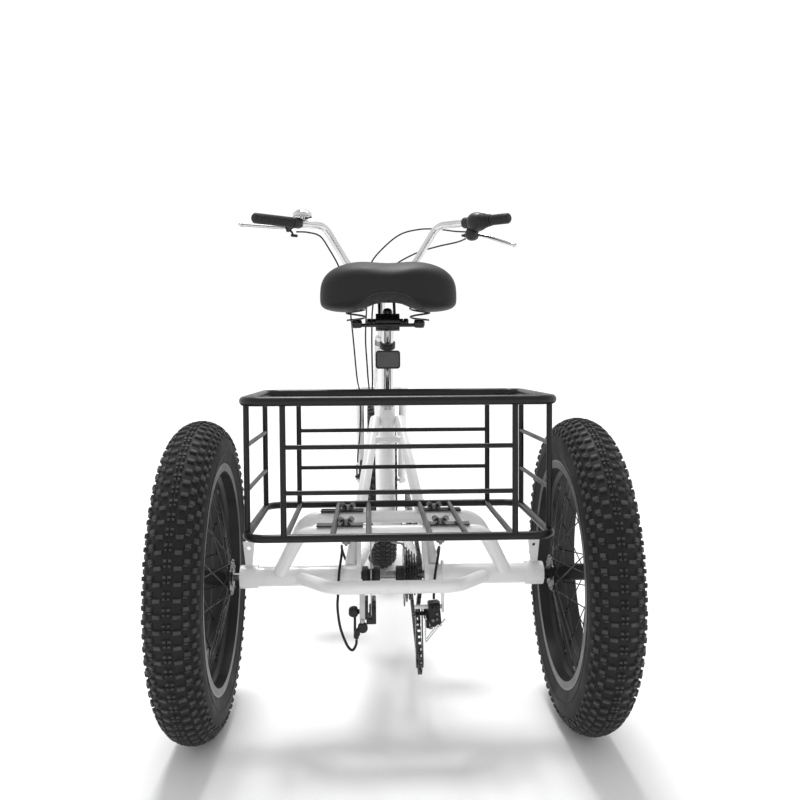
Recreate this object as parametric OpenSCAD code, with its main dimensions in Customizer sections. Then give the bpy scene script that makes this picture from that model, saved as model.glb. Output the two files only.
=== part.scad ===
// Adult tricycle with fat tyres: a step-through frame, a live rear axle with a seven-speed
// freewheel and a disc brake, a wire basket over the axle, a sprung saddle and swept-back bars.
// Forward is +Y, the rider's right is +X, the ground is Z = 0 and Y = 0 is half way between
// the axles. Millimetres.

/* [Wheels] */
// Outside diameter of each tyre
tyre_od = 595; // [585:5:605]
// Width of each tyre
tyre_w = 101; // [98:1:104]
// Distance from the rear axle to the front axle
wheelbase = 1290; // [1280:5:1310]
// Distance between the middles of the two rear tyres
track = 720; // [715:5:740]
// Number of spokes in each wheel
spoke_count = 36; // [28:4:36]

/* [Frame] */
// Angle of the seat tube from the ground
seat_angle = 66.8; // [66:0.2:68]
// Angle of the head tube from the ground
head_angle = 70; // [69.6:0.2:70.4]
// Distance from the steering axis to the front axle
fork_rake = 45; // [42:1:48]
// Distance from the rear axle forward to the crank spindle
rear_centre = 475; // [470:1:480]
// Height of the crank spindle
crank_height = 295; // [290:1:300]

/* [Basket] */
// Width of the basket between the middles of its side rails
basket_w = 514; // [480:2:520]
// Length of the basket between the middles of its end rails
basket_l = 336; // [320:2:340]
// Height of the basket between its bottom ring and its rim
basket_h = 226; // [200:2:240]

/* [Drive] */
// Teeth on the chainring
chainring_teeth = 44; // [42:1:46]
// Length of each crank arm
crank_length = 165; // [160:1:170]
// Angle of the right crank above the rearward horizontal
crank_rest_angle = 12; // [0:1:20]

/* [Saddle] */
// Greatest width of the saddle
saddle_w = 286; // [260:2:300]
// Length of the saddle
saddle_l = 268; // [255:1:275]

/* [Hidden] */
$fn = 40;

running = 0.05;          // radial clearance of a turning fit
axle_z = tyre_od / 2;
rear_y = -wheelbase / 2;
front_y = wheelbase / 2;
wheel_x = track / 2;
bb = [0, rear_y + rear_centre, crank_height];
head_foot = [0, front_y - fork_rake * sin(head_angle), axle_z - fork_rake * cos(head_angle)];

// Points on the seat tube's axis and on the steering axis, a distance up from their feet
function on_seat(s) = bb + s * [0, -cos(seat_angle), sin(seat_angle)];
function on_head(s) = head_foot + s * [0, -cos(head_angle), sin(head_angle)];
function unit(v) = v / norm(v);
function flip_x(p) = [-p[0], p[1], p[2]];

// ---- shared shapes ----

// A round bar between two points
module rod(a, b, r) {
    d = b - a;
    translate(a)
        rotate([0, acos(d[2] / norm(d)), atan2(d[1], d[0])])
            cylinder(h = norm(d), r = r);
}

// Angle turned at the inner point i of a path, and how far a bend there reaches along it
function turn_at(path, i) = i == 0 || i == len(path) - 1 ? 0
    : acos(unit(path[i] - path[i - 1]) * unit(path[i + 1] - path[i]));
function reach(path, i, bend_r) = bend_r * tan(turn_at(path, i) / 2);

// A tube bent at every point of a path but its ends, with a fine bead where a bend starts and
// ends
bead = 1.6;
bead_rise = 0.08;
module bent_tube(path, bend_r, r) {
    d = path[1] - path[0];
    tilt = acos(d[2] / norm(d));
    heading = atan2(d[1], d[0]);
    translate(path[0])
        rotate([0, tilt, heading])
            tube_run(path, 0, bend_r, r,
                     [cos(tilt) * cos(heading), cos(tilt) * sin(heading), -sin(tilt)]);
}

// The tube from point i on, drawn up Z from the end of the last bend; side is the direction in
// space of the local X axis
module tube_run(path, i, bend_r, r, side) {
    u = unit(path[i + 1] - path[i]);
    straight = norm(path[i + 1] - path[i]) - reach(path, i, bend_r) - reach(path, i + 1, bend_r);
    start = i == 0 ? 0 : bead / 4;
    if (i > 0)
        translate([0, 0, -bead / 2])
            cylinder(h = bead, r = r + bead_rise);
    translate([0, 0, start])
        cylinder(h = straight - start - (i + 2 < len(path) ? bead / 4 : 0), r = r);
    if (i + 2 < len(path)) {
        translate([0, 0, straight - bead / 2])
            cylinder(h = bead, r = r + bead_rise);
        v = unit(path[i + 2] - path[i + 1]);
        inward = unit(v - u * (u * v));
        turn = turn_at(path, i + 1);
        translate([0, 0, straight])
            rotate([0, 0, atan2(inward * cross(u, side), inward * side)]) {
                translate([bend_r, 0, 0])
                    rotate([90, 0, 180])
                        rotate_extrude(angle = turn)
                            translate([bend_r, 0])
                                circle(r);
                translate([bend_r * (1 - cos(turn)), 0, bend_r * sin(turn)])
                    rotate([0, turn, 0])
                        tube_run(path, i + 1, bend_r, r, inward * cos(turn) - u * sin(turn));
            }
    }
}

// A flat closed ring of tube with round corners, centred on the origin
module tube_ring(w, l, corner_r, r) {
    for (side = [-1, 1]) {
        rod([side * w / 2, corner_r - l / 2, 0], [side * w / 2, l / 2 - corner_r, 0], r);
        rod([corner_r - w / 2, side * l / 2, 0], [w / 2 - corner_r, side * l / 2, 0], r);
    }
    for (q = [0:3])
        translate([(q == 0 || q == 3 ? 1 : -1) * (w / 2 - corner_r),
                   (q < 2 ? 1 : -1) * (l / 2 - corner_r), 0])
            rotate([0, 0, 90 * q])
                rotate_extrude(angle = 90)
                    translate([corner_r, 0])
                        circle(r);
}

// A flat plate in the Y-Z plane, from x to x + thick
module side_plate(x, thick) {
    translate([x, 0, 0])
        rotate([90, 0, 90])
            linear_extrude(thick)
                children();
}

// A disc or ring lying across the X axis at a point
module disc_x(x, y, z, thick, r, bore = 0) {
    translate([x, y, z])
        rotate([0, 90, 0])
            difference() {
                cylinder(h = thick, r = r);
                if (bore > 0)
                    translate([0, 0, -1])
                        cylinder(h = thick + 2, r = bore);
            }
}

// Two circles joined by a tapering web, drawn flat
module link_2d(a, ra, b, rb) {
    long = norm(b - a);
    translate(a)
        rotate(atan2(b[1] - a[1], b[0] - a[0])) {
            circle(ra);
            translate([long, 0])
                circle(rb);
            polygon([[0, ra * 0.96], [long, rb * 0.96], [long, -rb * 0.96], [0, -ra * 0.96]]);
        }
}

// Toothed outline of a sprocket for half-inch pitch chain
chain_pitch = 12.7;
function pitch_r(teeth) = chain_pitch / 2 / sin(180 / teeth);
module sprocket_2d(teeth) {
    polygon([for (i = [0:teeth - 1]) for (p = [[-0.34, -4], [-0.1, 3], [0.1, 3], [0.34, -4]])
        (pitch_r(teeth) + p[1]) * [cos((i + p[0]) * 360 / teeth), sin((i + p[0]) * 360 / teeth)]]);
}

// A smooth curve through a list of points
function curve_point(p, i, t) = let (
        last = len(p) - 1, a = p[max(i - 1, 0)], b = p[i], c = p[i + 1], d = p[min(i + 2, last)])
    0.5 * (2 * b + (c - a) * t + (2 * a - 5 * b + 4 * c - d) * t * t
        + (3 * b - a - 3 * c + d) * t * t * t);
function curve(p, steps) = concat(
    [for (i = [0:len(p) - 2]) for (j = [0:steps - 1]) curve_point(p, i, j / steps)],
    [p[len(p) - 1]]);

// A flexible round line swept along a list of points
module swept(path, r, sides = 8) {
    last = len(path) - 1;
    along = [for (i = [0:last]) unit(path[min(i + 1, last)] - path[max(i - 1, 0)])];
    across = [for (i = 0, n = unit(cross(along[0], [0.3, 0.2, 0.9])); i <= last;
        i = i + 1, n = i > last ? n : unit(n - along[i] * (n * along[i]))) n];
    points = [for (i = [0:last]) for (k = [0:sides - 1])
        path[i] + r * (cos(k * 360 / sides) * across[i]
            + sin(k * 360 / sides) * cross(along[i], across[i]))];
    skin = [for (i = [0:last - 1]) for (k = [0:sides - 1]) let (
            a = i * sides + k, b = i * sides + (k + 1) % sides)
        each [[a, a + sides, b], [b, a + sides, b + sides]]];
    ends = [[for (k = [0:sides - 1]) k], [for (k = [sides - 1:-1:0]) last * sides + k]];
    polyhedron(points, concat(skin, ends), convexity = 10);
}

// ---- frame ----

head_low = 380;          // ends of the head tube along the steering axis
head_high = 505;
seat_tube_len = 362;
steerer_r = 12.7;
post_r = 13.6;
down_top = on_head(412);
upper_top = on_head(488);
upper_foot = on_seat(200);
shell_half = 34;
cup_r = 18;
spindle_r = 8;

module main_frame() {
    color("white")
    difference() {
        union() {
            rod(on_head(head_low), on_head(head_high), 22);
            rod(bb, on_seat(seat_tube_len), 19);
            rod(down_top, bb, 25);
            rod(upper_top, upper_foot, 16);
            rod(bb - [shell_half, 0, 0], bb + [shell_half, 0, 0], 22);
        }
        rod(on_head(head_low - 1), on_head(head_high + 1), 17 + running);
        rod(on_seat(26), on_seat(seat_tube_len + 1), post_r + running);
        rod(down_top + unit(bb - down_top) * 28, bb - unit(bb - down_top) * 28, 22);
        rod(upper_top + unit(upper_foot - upper_top) * 28,
            upper_foot - unit(upper_foot - upper_top) * 24, 14);
        rod(bb - [shell_half + 1, 0, 0], bb + [shell_half + 1, 0, 0], cup_r + running);
    }
}

chain_stay_end = [70, rear_y + 18, axle_z];
seat_stay_top = on_seat(300) + [27.5, -2, 0];
seat_stay_end = [80, rear_y + 14, axle_z + 11];

module rear_stays() {
    color("white") {
        for (side = [1, -1]) {
            scale_x = [side, 1, 1];
            chain_start = bb + [26, -20, 0];
            rod([for (k = [0:2]) chain_start[k] * scale_x[k]],
                [for (k = [0:2]) chain_stay_end[k] * scale_x[k]], 10);
            rod([for (k = [0:2]) seat_stay_top[k] * scale_x[k]],
                [for (k = [0:2]) seat_stay_end[k] * scale_x[k]], 12);
        }
        bridge = seat_stay_top + (seat_stay_end - seat_stay_top) * 0.16;
        rod(flip_x(bridge), bridge, 8);
    }
}

housing_in = 60;         // ends of each half of the axle housing, from the middle
housing_out = 288;
housing_r = 19;
bearing_r = 15.5;
tab_h = 50;              // fender tab above the housing
tab_hole_r = 3.2;

module axle_housings() {
    color("white")
    for (side = [1, -1])
        mirror([side < 0 ? 1 : 0, 0, 0]) {
            difference() {
                union() {
                    disc_x(housing_in, rear_y, axle_z, housing_out - housing_in, housing_r);
                    disc_x(housing_out - 33, rear_y, axle_z, 33, 22);
                    side_plate(housing_in, 8)
                        link_2d([rear_y, axle_z], 27, [rear_y + 42, axle_z + 34], 24);
                }
                disc_x(housing_in - 1, rear_y, axle_z, housing_out - housing_in + 2, bearing_r);
            }
            translate([housing_out - 16, rear_y + 2, axle_z + 17])
                rotate([90, 0, 0])
                    linear_extrude(4)
                        difference() {
                            polygon([[-6, 0], [6, 0], [11, tab_h], [-11, tab_h]]);
                            translate([0, tab_h - 12])
                                circle(tab_hole_r);
                        }
        }
}

hoop_z = 395;
hoop_r = 12.5;
near_hoop_y = rear_y - 74;
far_hoop_y = rear_y + 76;
hoop_half = 168;
foot_x = 212;
bolt_x = 86;

module rack_hoops() {
    color("white")
    difference() {
        for (hoop = [[near_hoop_y, -13.5], [far_hoop_y, 13.5]])
            bent_tube([[-foot_x, rear_y + hoop[1], axle_z + 12], [-hoop_half, hoop[0], hoop_z],
                       [hoop_half, hoop[0], hoop_z], [foot_x, rear_y + hoop[1], axle_z + 12]],
                      42, hoop_r);
        for (y = [near_hoop_y, far_hoop_y], side = [-1, 1])
            translate([side * bolt_x, y, hoop_z - 20])
                cylinder(h = 40, r = 3.2);
    }
}

guard_y = rear_y - 94;
guard_half = 114;

module rear_guard() {
    color("white")
    bent_tube([[-172, rear_y - 20, axle_z], [-guard_half, guard_y, axle_z + 1],
               [guard_half, guard_y, axle_z + 1], [172, rear_y - 20, axle_z]], 46, 12);
}

axle_r = 7.5;
bearing_w = 11;

// Four axle bearings, headset cups above and below the head tube, and the two cups in the
// bottom bracket shell
module bearings() {
    color("silver") {
        for (x = [housing_in, housing_out - bearing_w], side = [0, 1])
            mirror([side, 0, 0])
                disc_x(x, rear_y, axle_z, bearing_w, bearing_r, axle_r + running);
        for (cup = [[head_low - 12, head_low, head_low + 10],
                    [head_high + 14, head_high, head_high - 10]])
            difference() {
                union() {
                    rod(on_head(min(cup[0], cup[1])), on_head(max(cup[0], cup[1])), 21);
                    rod(on_head(min(cup[1], cup[2])), on_head(max(cup[1], cup[2])), 17);
                }
                rod(on_head(head_low - 20), on_head(head_high + 20), steerer_r + running);
            }
        for (x = [-shell_half - 4, shell_half - 14])
            disc_x(x, bb[1], bb[2], 18, cup_r, spindle_r + running);
    }
}

module seat_clamp() {
    color("silver") {
        difference() {
            union() {
                rod(on_seat(seat_tube_len - 20), on_seat(seat_tube_len - 2), 23);
                translate(on_seat(seat_tube_len - 11))
                    rotate([90 - seat_angle, 0, 0])
                        translate([-8, -38, -8])
                            cube([16, 20, 16]);
            }
            rod(on_seat(seat_tube_len - 30), on_seat(seat_tube_len + 10), 19 + running);
            translate(on_seat(seat_tube_len - 11))
                rotate([90 - seat_angle, 0, 0])
                    translate([-1.2, -40, -12])
                        cube([2.4, 24, 24]);
        }
    }
}

// ---- basket ----

basket_z = 415;
rim_z = basket_z + basket_h;
basket_y = rear_y - 52;
basket_x = 7;            // the basket is clamped a little to the right
rim_r = 8;
ring_r = 7;
bar_r = 4;
post_bar_r = 5;
rim_corner = 30;
slat_places = [-0.735, -0.435, -0.2, 0.2, 0.435, 0.735];
inner_upright = 0.75;    // inner uprights of the end walls, as a share of the half width

module basket_rim() {
    color("black")
    translate([basket_x, basket_y, rim_z])
        tube_ring(basket_w, basket_l, rim_corner, rim_r);
}

module basket_floor() {
    color("black")
    translate([basket_x, basket_y, basket_z]) {
        tube_ring(basket_w - 2, basket_l - 6, rim_corner + 4, ring_r);
        for (place = slat_places)
            rod([place * basket_w / 2, 3 - basket_l / 2, 0],
                [place * basket_w / 2, basket_l / 2 - 3, 0], post_bar_r);
    }
}

module basket_walls() {
    wall_x = basket_w / 2 - 2;
    wall_y = basket_l / 2 - 2;
    side_end = wall_y - rim_corner - 4;
    color("black")
    translate([basket_x, 0, 0])
    for (side = [-1, 1]) {
        for (end = [-1, 1])
            rod([end * inner_upright * wall_x, basket_y + side * wall_y, basket_z],
                [end * inner_upright * wall_x, basket_y + side * wall_y, rim_z], post_bar_r);
        for (end = [-1, 1])
            rod([side * wall_x, basket_y + end * side_end, basket_z],
                [side * wall_x, basket_y + end * side_end, rim_z], post_bar_r);
        for (k = [1, 2]) {
            z = basket_z + k * basket_h / 3;
            rod([-inner_upright * wall_x, basket_y + side * wall_y, z],
                [inner_upright * wall_x, basket_y + side * wall_y, z], bar_r);
            rod([side * wall_x, basket_y - side_end, z],
                [side * wall_x, basket_y + side_end, z], bar_r);
        }
    }
}

bracket_t = 2.4;         // sheet thickness of the slotted angles

// Slotted angles that lie on the hoops under the basket's floor slats
module basket_brackets() {
    top = basket_z - post_bar_r;
    color("black")
    for (y = [near_hoop_y, far_hoop_y], side = [-1, 1])
        difference() {
            union() {
                translate([side * 97 - 42, y - 12, top - bracket_t])
                    cube([84, 28, bracket_t]);
                translate([side * 97 - 42, y + 16 - bracket_t, top - 16])
                    cube([84, bracket_t, 16]);
            }
            translate([side * bolt_x, y, top - 10])
                cylinder(h = 20, r = 3.2);
            for (slot = [-28, 0, 28])
                translate([side * 97 + slot - 8, y + 5, top - 12])
                    cube([16, 20, 6]);
        }
}

module basket_bolts() {
    top = basket_z - post_bar_r;
    color("silver")
    for (y = [near_hoop_y, far_hoop_y], side = [-1, 1])
        translate([side * bolt_x, y, 0]) {
            translate([0, 0, hoop_z - hoop_r - 12])
                cylinder(h = 44, r = 3);
            translate([0, 0, hoop_z - hoop_r - 8])
                cylinder(h = 6, r = 7, $fn = 6);
            translate([0, 0, hoop_z - hoop_r - 2])
                cylinder(h = 2, r = 8);
            translate([0, 0, top])
                cylinder(h = 6, r = 6);
            translate([-13, -1.5, top + 3])
                cube([26, 3, 10]);
        }
}

// ---- wheels: each is drawn about the X axis at the origin, and then placed ----

tube_r = tyre_w / 2;     // radius of the tyre's round section
rim_edge_r = 216;        // outside of the rim's edge
rim_half = 40.2;
hub_flange_r = 34;
flange_t = 4;

module place_wheel(x, y) {
    translate([x, y, axle_z])
        rotate([0, 90, 0])
            children();
}

module tyre_shape() {
    rotate_extrude($fn = 96)
        union() {
            difference() {
                translate([tyre_od / 2 - tube_r, 0])
                    circle(tube_r);
                translate([tyre_od / 2 - tube_r, 0])
                    circle(tube_r - 5);
                translate([rim_edge_r - 60.2, -60])
                    square([60.5, 120]);
            }
            for (side = [-1, 1])
                translate([rim_edge_r - 12.6, side * (rim_half - 6) - 2.8])
                    square([17.4, 5.6]);
        }
}

module rim_shape() {
    half = [[rim_edge_r, 37.1], [203, 37.1], [203, 20], [197, 14]];
    under = [[194.5, 15], [200.5, 21], [200.5, rim_half], [rim_edge_r, rim_half]];
    rotate_extrude($fn = 96)
        polygon(concat(half, [for (i = [3:-1:0]) [half[i][0], -half[i][1]]],
                       [for (i = [3:-1:0]) [under[i][0], -under[i][1]]], under));
}

// Spokes laced across from two flanges; each end runs into the flange and the rim
module spokes_shape(flange_a, flange_b) {
    for (i = [0:spoke_count - 1]) {
        lace = i % 4 < 2 ? 1 : -1;
        off = lace * 2;
        flange = i % 2 == 0 ? flange_a : flange_b;
        rim_x = i % 2 == 0 ? -8 : 8;
        a = i * 360 / spoke_count;
        b = a + lace * 62;
        rod([(hub_flange_r - 4) * cos(b), (hub_flange_r - 4) * sin(b), flange + off],
            [196 * cos(a), 196 * sin(a), rim_x + off * 0.6], 1.15, $fn = 8);
    }
}

// A rear hub: flanges and barrel, with the inner end longer than the outer one
rear_flange_in = -54;
rear_flange_out = 26;
module rear_hub_shape(bore, sleeve_r) {
    difference() {
        union() {
            for (x = [rear_flange_in, rear_flange_out])
                translate([0, 0, x - flange_t / 2])
                    cylinder(h = flange_t, r = hub_flange_r);
            translate([0, 0, rear_flange_in - 4])
                cylinder(h = 88, r = 16);
            if (sleeve_r > 0)
                translate([0, 0, rear_flange_in - 14])
                    cylinder(h = 12, r = sleeve_r);
        }
        translate([0, 0, rear_flange_in - 20])
            cylinder(h = 120, r = bore);
    }
}

front_flange = 29;
front_axle_r = 5;
module front_hub_shape() {
    difference() {
        union() {
            for (x = [-front_flange, front_flange])
                translate([0, 0, x - flange_t / 2])
                    cylinder(h = flange_t, r = hub_flange_r);
            translate([0, 0, -50])
                cylinder(h = 104, r = 16);
            translate([0, 0, -50])
                cylinder(h = 4, r = 27);
        }
        translate([0, 0, -60])
            cylinder(h = 120, r = front_axle_r + running);
    }
}

module right_tyre() { color("black") place_wheel(wheel_x, rear_y) tyre_shape(); }
module right_rim() { color("dimgray") place_wheel(wheel_x, rear_y) rim_shape(); }
module right_spokes() {
    color("black") place_wheel(wheel_x, rear_y) spokes_shape(rear_flange_in, rear_flange_out);
}
module right_hub() {
    color("black") place_wheel(wheel_x, rear_y) rear_hub_shape(axle_r, 12);
}
module left_tyre() { mirror([1, 0, 0]) right_tyre(); }
module left_rim() { mirror([1, 0, 0]) right_rim(); }
module left_spokes() { mirror([1, 0, 0]) right_spokes(); }
module left_hub() {
    color("black")
    mirror([1, 0, 0])
        place_wheel(wheel_x, rear_y) rear_hub_shape(axle_r + running, 0);
}
module front_tyre() { color("black") place_wheel(0, front_y) tyre_shape(); }
module front_rim() { color("dimgray") place_wheel(0, front_y) rim_shape(); }
module front_spokes() {
    color("black") place_wheel(0, front_y) spokes_shape(-front_flange, front_flange);
}
module front_hub() { color("black") place_wheel(0, front_y) front_hub_shape(); }

// ---- rear axle, brake and gears ----

rotor_r = 80;
rotor_t = 2;
rotor_x = -41;           // middle of the rear rotor
front_rotor_x = -51;
carrier_r = 17;
chain_x = 52;            // plane that the chain runs in
sprocket_t = 1.8;
sprocket_gap = 5;
cog_teeth = [28, 24, 22, 20, 18, 16, 14];

module drive_axle() {
    axle_half = wheel_x + 36;
    color("silver") {
        disc_x(-axle_half, rear_y, axle_z, 2 * axle_half, axle_r);
        for (x = [-axle_half - 5, axle_half - 4])
            disc_x(x, rear_y, axle_z, 9, 12);
        for (piece = [[-58, 12], [-36, 12], [6, 50]])
            disc_x(piece[0], rear_y, axle_z, piece[1], carrier_r);
        disc_x(rotor_x - 8, rear_y, axle_z, 16, 12);
    }
}

module rotor_2d() {
    difference() {
        circle(rotor_r);
        circle(62);
        for (i = [0:35])
            rotate(i * 10)
                translate([71 + 5 * (i % 3 - 1), 0])
                    circle(2.6, $fn = 16);
    }
    for (i = [0:5])
        rotate(i * 60)
            polygon([[20, -6], [63, 10], [63, 18], [20, 6]]);
    difference() {
        circle(27);
        circle(12);
    }
}

module rear_rotor() {
    color("silver")
    side_plate(rotor_x - rotor_t / 2, rotor_t)
        translate([rear_y, axle_z])
            rotor_2d();
}

module front_rotor() {
    color("silver")
    side_plate(front_rotor_x - rotor_t / 2, rotor_t)
        translate([front_y, axle_z])
            difference() {
                rotor_2d();
                circle(16);
            }
}

module freewheel() {
    color("dimgray")
    difference() {
        union() {
            for (i = [0:6])
                side_plate(chain_x - (6 - i) * sprocket_gap - sprocket_t / 2, sprocket_t)
                    translate([rear_y, axle_z])
                        sprocket_2d(cog_teeth[i]);
            disc_x(chain_x - 32, rear_y, axle_z, 35, 22);
        }
        disc_x(chain_x - 40, rear_y, axle_z, 60, carrier_r + running);
    }
}

// Caliper body over a rotor, drawn with the rotor's middle plane at x = 0 and the disc's centre
// at the origin of the Y-Z plane
module caliper_shape(y, z, w, h) {
    difference() {
        translate([-24, y, z])
            cube([36, w, h]);
        translate([-2.6, y - 1, z - 1])
            cube([5.2, w + 2, h + 2]);
    }
    disc_x(-28, y + w / 2, z + h / 2, 5, 9);
    disc_x(11, y + w / 2, z + h / 2, 6, 11);
    translate([-24, y, z])
        cube([36, 8, 8]);
}

caliper_y = rear_y - 37;
caliper_z = axle_z - 94;
rear_arm_pivot = [rotor_x - 28, caliper_y + 22, caliper_z + 23];

module rear_caliper() {
    color("black")
    difference() {
        union() {
            translate([rotor_x, 0, 0])
                caliper_shape(caliper_y, caliper_z, 44, 46);
            translate([-66, rear_y - 30, caliper_z + 40])
                cube([5, 26, 36]);
            rod(rear_arm_pivot - [9, 0, 0], rear_arm_pivot + [1, 0, 0], 4);
        }
        disc_x(rotor_x - rotor_t / 2 - 1.6, rear_y, axle_z, rotor_t + 3.2, rotor_r + 2);
        disc_x(-80, rear_y, axle_z, 60, 27.2);
    }
}

// An arm on a caliper's pivot, with its outer end a step away in the Y-Z plane
module caliper_arm(pivot, step) {
    color("black")
    difference() {
        union() {
            side_plate(pivot[0] - 5.5, 5)
                link_2d([pivot[1], pivot[2]], 10, [pivot[1] + step[0], pivot[2] + step[1]], 5.5);
            disc_x(pivot[0] - 5.5, pivot[1], pivot[2], 5, 10.4);
        }
        disc_x(pivot[0] - 15, pivot[1], pivot[2], 30, 4 + running);
    }
}

module rear_brake_arm() { caliper_arm(rear_arm_pivot, [-6, -38]); }

front_caliper_at = [front_y - 122, axle_z - 4];
front_arm_pivot = [front_rotor_x - 28, front_caliper_at[0] + 24, front_caliper_at[1] + 30];

module front_caliper() {
    color("black")
    difference() {
        union() {
            translate([front_rotor_x, 0, 0])
                caliper_shape(front_caliper_at[0], front_caliper_at[1], 50, 60);
            side_plate(front_rotor_x - 21, 6)
                link_2d([front_y - 46, axle_z + 70], 8, [front_y - 80, axle_z + 44], 10);
            rod(front_arm_pivot - [9, 0, 0], front_arm_pivot + [1, 0, 0], 4);
        }
        disc_x(front_rotor_x - rotor_t / 2 - 1.6, front_y, axle_z, rotor_t + 3.2, rotor_r + 2);
    }
}

module front_brake_arm() { caliper_arm(front_arm_pivot, [-12, 36]); }

// ---- chain and derailleur ----

guide_at = [rear_y + 30, axle_z - 85];
tension_at = [rear_y + 12, axle_z - 172];
pulley_teeth = 11;
chain_inner = 2.2;       // half the gap between the side plates
chain_plate = 0.9;
chain_half_h = 4;

// The chain's closed path as directed circles: centre, radius, and +1 where it runs round
// anticlockwise seen from the right
wraps = [[[bb[1], bb[2]], pitch_r(chainring_teeth), -1], [tension_at, pitch_r(pulley_teeth), -1],
         [guide_at, pitch_r(pulley_teeth), 1], [[rear_y, axle_z], pitch_r(14), -1]];
function heading(a, b) = let (d = b[0] - a[0])
    atan2(d[1], d[0]) - asin((b[2] * b[1] - a[2] * a[1]) / norm(d));
function touch(c, h) = c[0] - c[2] * c[1] * [-sin(h), cos(h)];
function wrap_turn(side, h_in, h_out) = let (t = (h_out - h_in) * side)
    side * (t - 360 * floor(t / 360));
wrap_steps = [24, 12, 8, 14];
function chain_path(grow) = [for (i = [0:3]) let (
        c = wraps[i], h_in = heading(wraps[(i + 3) % 4], c), h_out = heading(c, wraps[(i + 1) % 4]),
        span = wrap_turn(c[2], h_in, h_out))
    for (k = [0:wrap_steps[i]]) let (h = h_in + span * k / wrap_steps[i])
        touch(c, h) + grow * [-sin(h), cos(h)]];

module chain() {
    color("dimgray") {
        for (side = [-1, 1])
            side_plate(chain_x + (side < 0 ? -chain_inner - chain_plate : chain_inner), chain_plate)
                difference() {
                    polygon(chain_path(chain_half_h));
                    polygon(chain_path(-chain_half_h));
                }
        for (run = [[0, 1], [3, 0]]) {
            h = heading(wraps[run[0]], wraps[run[1]]);
            a = touch(wraps[run[0]], h);
            b = touch(wraps[run[1]], h);
            count = floor(norm(b - a) / chain_pitch) - 6;
            for (k = [0:count])
                let (p = a + (b - a) * (0.5 + (k - count / 2) * chain_pitch / norm(b - a)))
                    rod([chain_x - chain_inner - 0.5, p[0], p[1]],
                        [chain_x + chain_inner + 0.5, p[0], p[1]], 1.8, $fn = 16);
        }
    }
}

module pulley_shape(at) {
    color("black")
    difference() {
        side_plate(chain_x - 1.2, 2.4)
            translate(at)
                sprocket_2d(pulley_teeth);
        disc_x(chain_x - 5, at[0], at[1], 10, 4 + running);
    }
}
module guide_pulley() { pulley_shape(guide_at); }
module tension_pulley() { pulley_shape(tension_at); }

module derailleur_cage() {
    color("black") {
        for (x = [chain_x - 7, chain_x + 5.5])
            side_plate(x, 1.5)
                difference() {
                    link_2d(guide_at, 12, tension_at, 14);
                    translate(guide_at)
                        circle(4 + running);
                }
        rod([chain_x - 7, tension_at[0], tension_at[1]],
            [chain_x + 7, tension_at[0], tension_at[1]], 4);
    }
}

slide_pin = [rear_y - 4, axle_z - 62];
body_in = 68;            // inner and outer faces of the derailleur's body
body_out = 92;

module derailleur_body() {
    color("black")
    difference() {
        union() {
            translate([body_in, slide_pin[0] - 16, slide_pin[1] - 38])
                cube([body_out - body_in, 32, 50]);
            side_plate(chain_x + 8, body_in - chain_x - 8)
                link_2d(guide_at, 11, [slide_pin[0] + 6, slide_pin[1] - 20], 10);
            rod([chain_x - 9, guide_at[0], guide_at[1]],
                [chain_x + 9, guide_at[0], guide_at[1]], 4);
        }
        disc_x(body_in - 20, slide_pin[0], slide_pin[1], 60, 4 + running);
    }
}

// Bracket under the axle housing, with the pin that the derailleur's body travels on
module derailleur_hanger() {
    color("white")
    difference() {
        union() {
            side_plate(body_out + 2, 4)
                link_2d([rear_y, axle_z], 26, slide_pin, 11);
            rod([42, slide_pin[0], slide_pin[1]], [body_out + 6, slide_pin[0], slide_pin[1]], 4);
        }
        disc_x(body_out, rear_y, axle_z, 10, housing_r);
    }
}

// ---- cranks and pedals ----

arm_in = 62;
arm_t = 14;
crank_vec = crank_length * [-cos(crank_rest_angle), sin(crank_rest_angle)];
bb_2d = [bb[1], bb[2]];

module chainring() {
    color("dimgray")
    side_plate(chain_x - 1.2, 2.4)
        translate(bb_2d)
            difference() {
                sprocket_2d(chainring_teeth);
                circle(34);
                for (i = [0:9])
                    rotate(i * 36 + 18)
                        translate([62, 0])
                            circle(9);
            }
}

module crank_arms() {
    color("black") {
        disc_x(-arm_in - 8, bb[1], bb[2], 2 * arm_in + 16, spindle_r);
        for (side = [1, -1]) {
            tip = bb_2d + side * crank_vec;
            side_plate(side > 0 ? arm_in : -arm_in - arm_t, arm_t)
                link_2d(bb_2d, 17, tip, 13);
            rod([side * (arm_in + arm_t - 4), tip[0], tip[1]], [side * 186, tip[0], tip[1]], 5);
        }
        side_plate(chain_x + 1.2, arm_in - chain_x)
            translate(bb_2d)
                for (i = [0:4])
                    rotate(i * 72)
                        link_2d([0, 0], 16, [40, 0], 8);
    }
}

module pedal_shape(side) {
    tip = bb_2d + side * crank_vec;
    x_in = arm_in + arm_t + 8;
    color("black")
    difference() {
        union() {
            translate([side > 0 ? x_in : -x_in - 96, tip[0] - 36, tip[1] - 11])
                difference() {
                    cube([96, 72, 22]);
                    for (y = [8, 46])
                        translate([12, y, -1])
                            cube([72, 18, 24]);
                }
        }
        rod([side * (x_in - 10), tip[0], tip[1]], [side * 190, tip[0], tip[1]], 5 + running);
    }
}
module right_pedal() { pedal_shape(1); }
module left_pedal() { pedal_shape(-1); }

// ---- fork, bars and controls ----

leg_x = 70;
crown_s = 352;
leg_r = 13;

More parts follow.
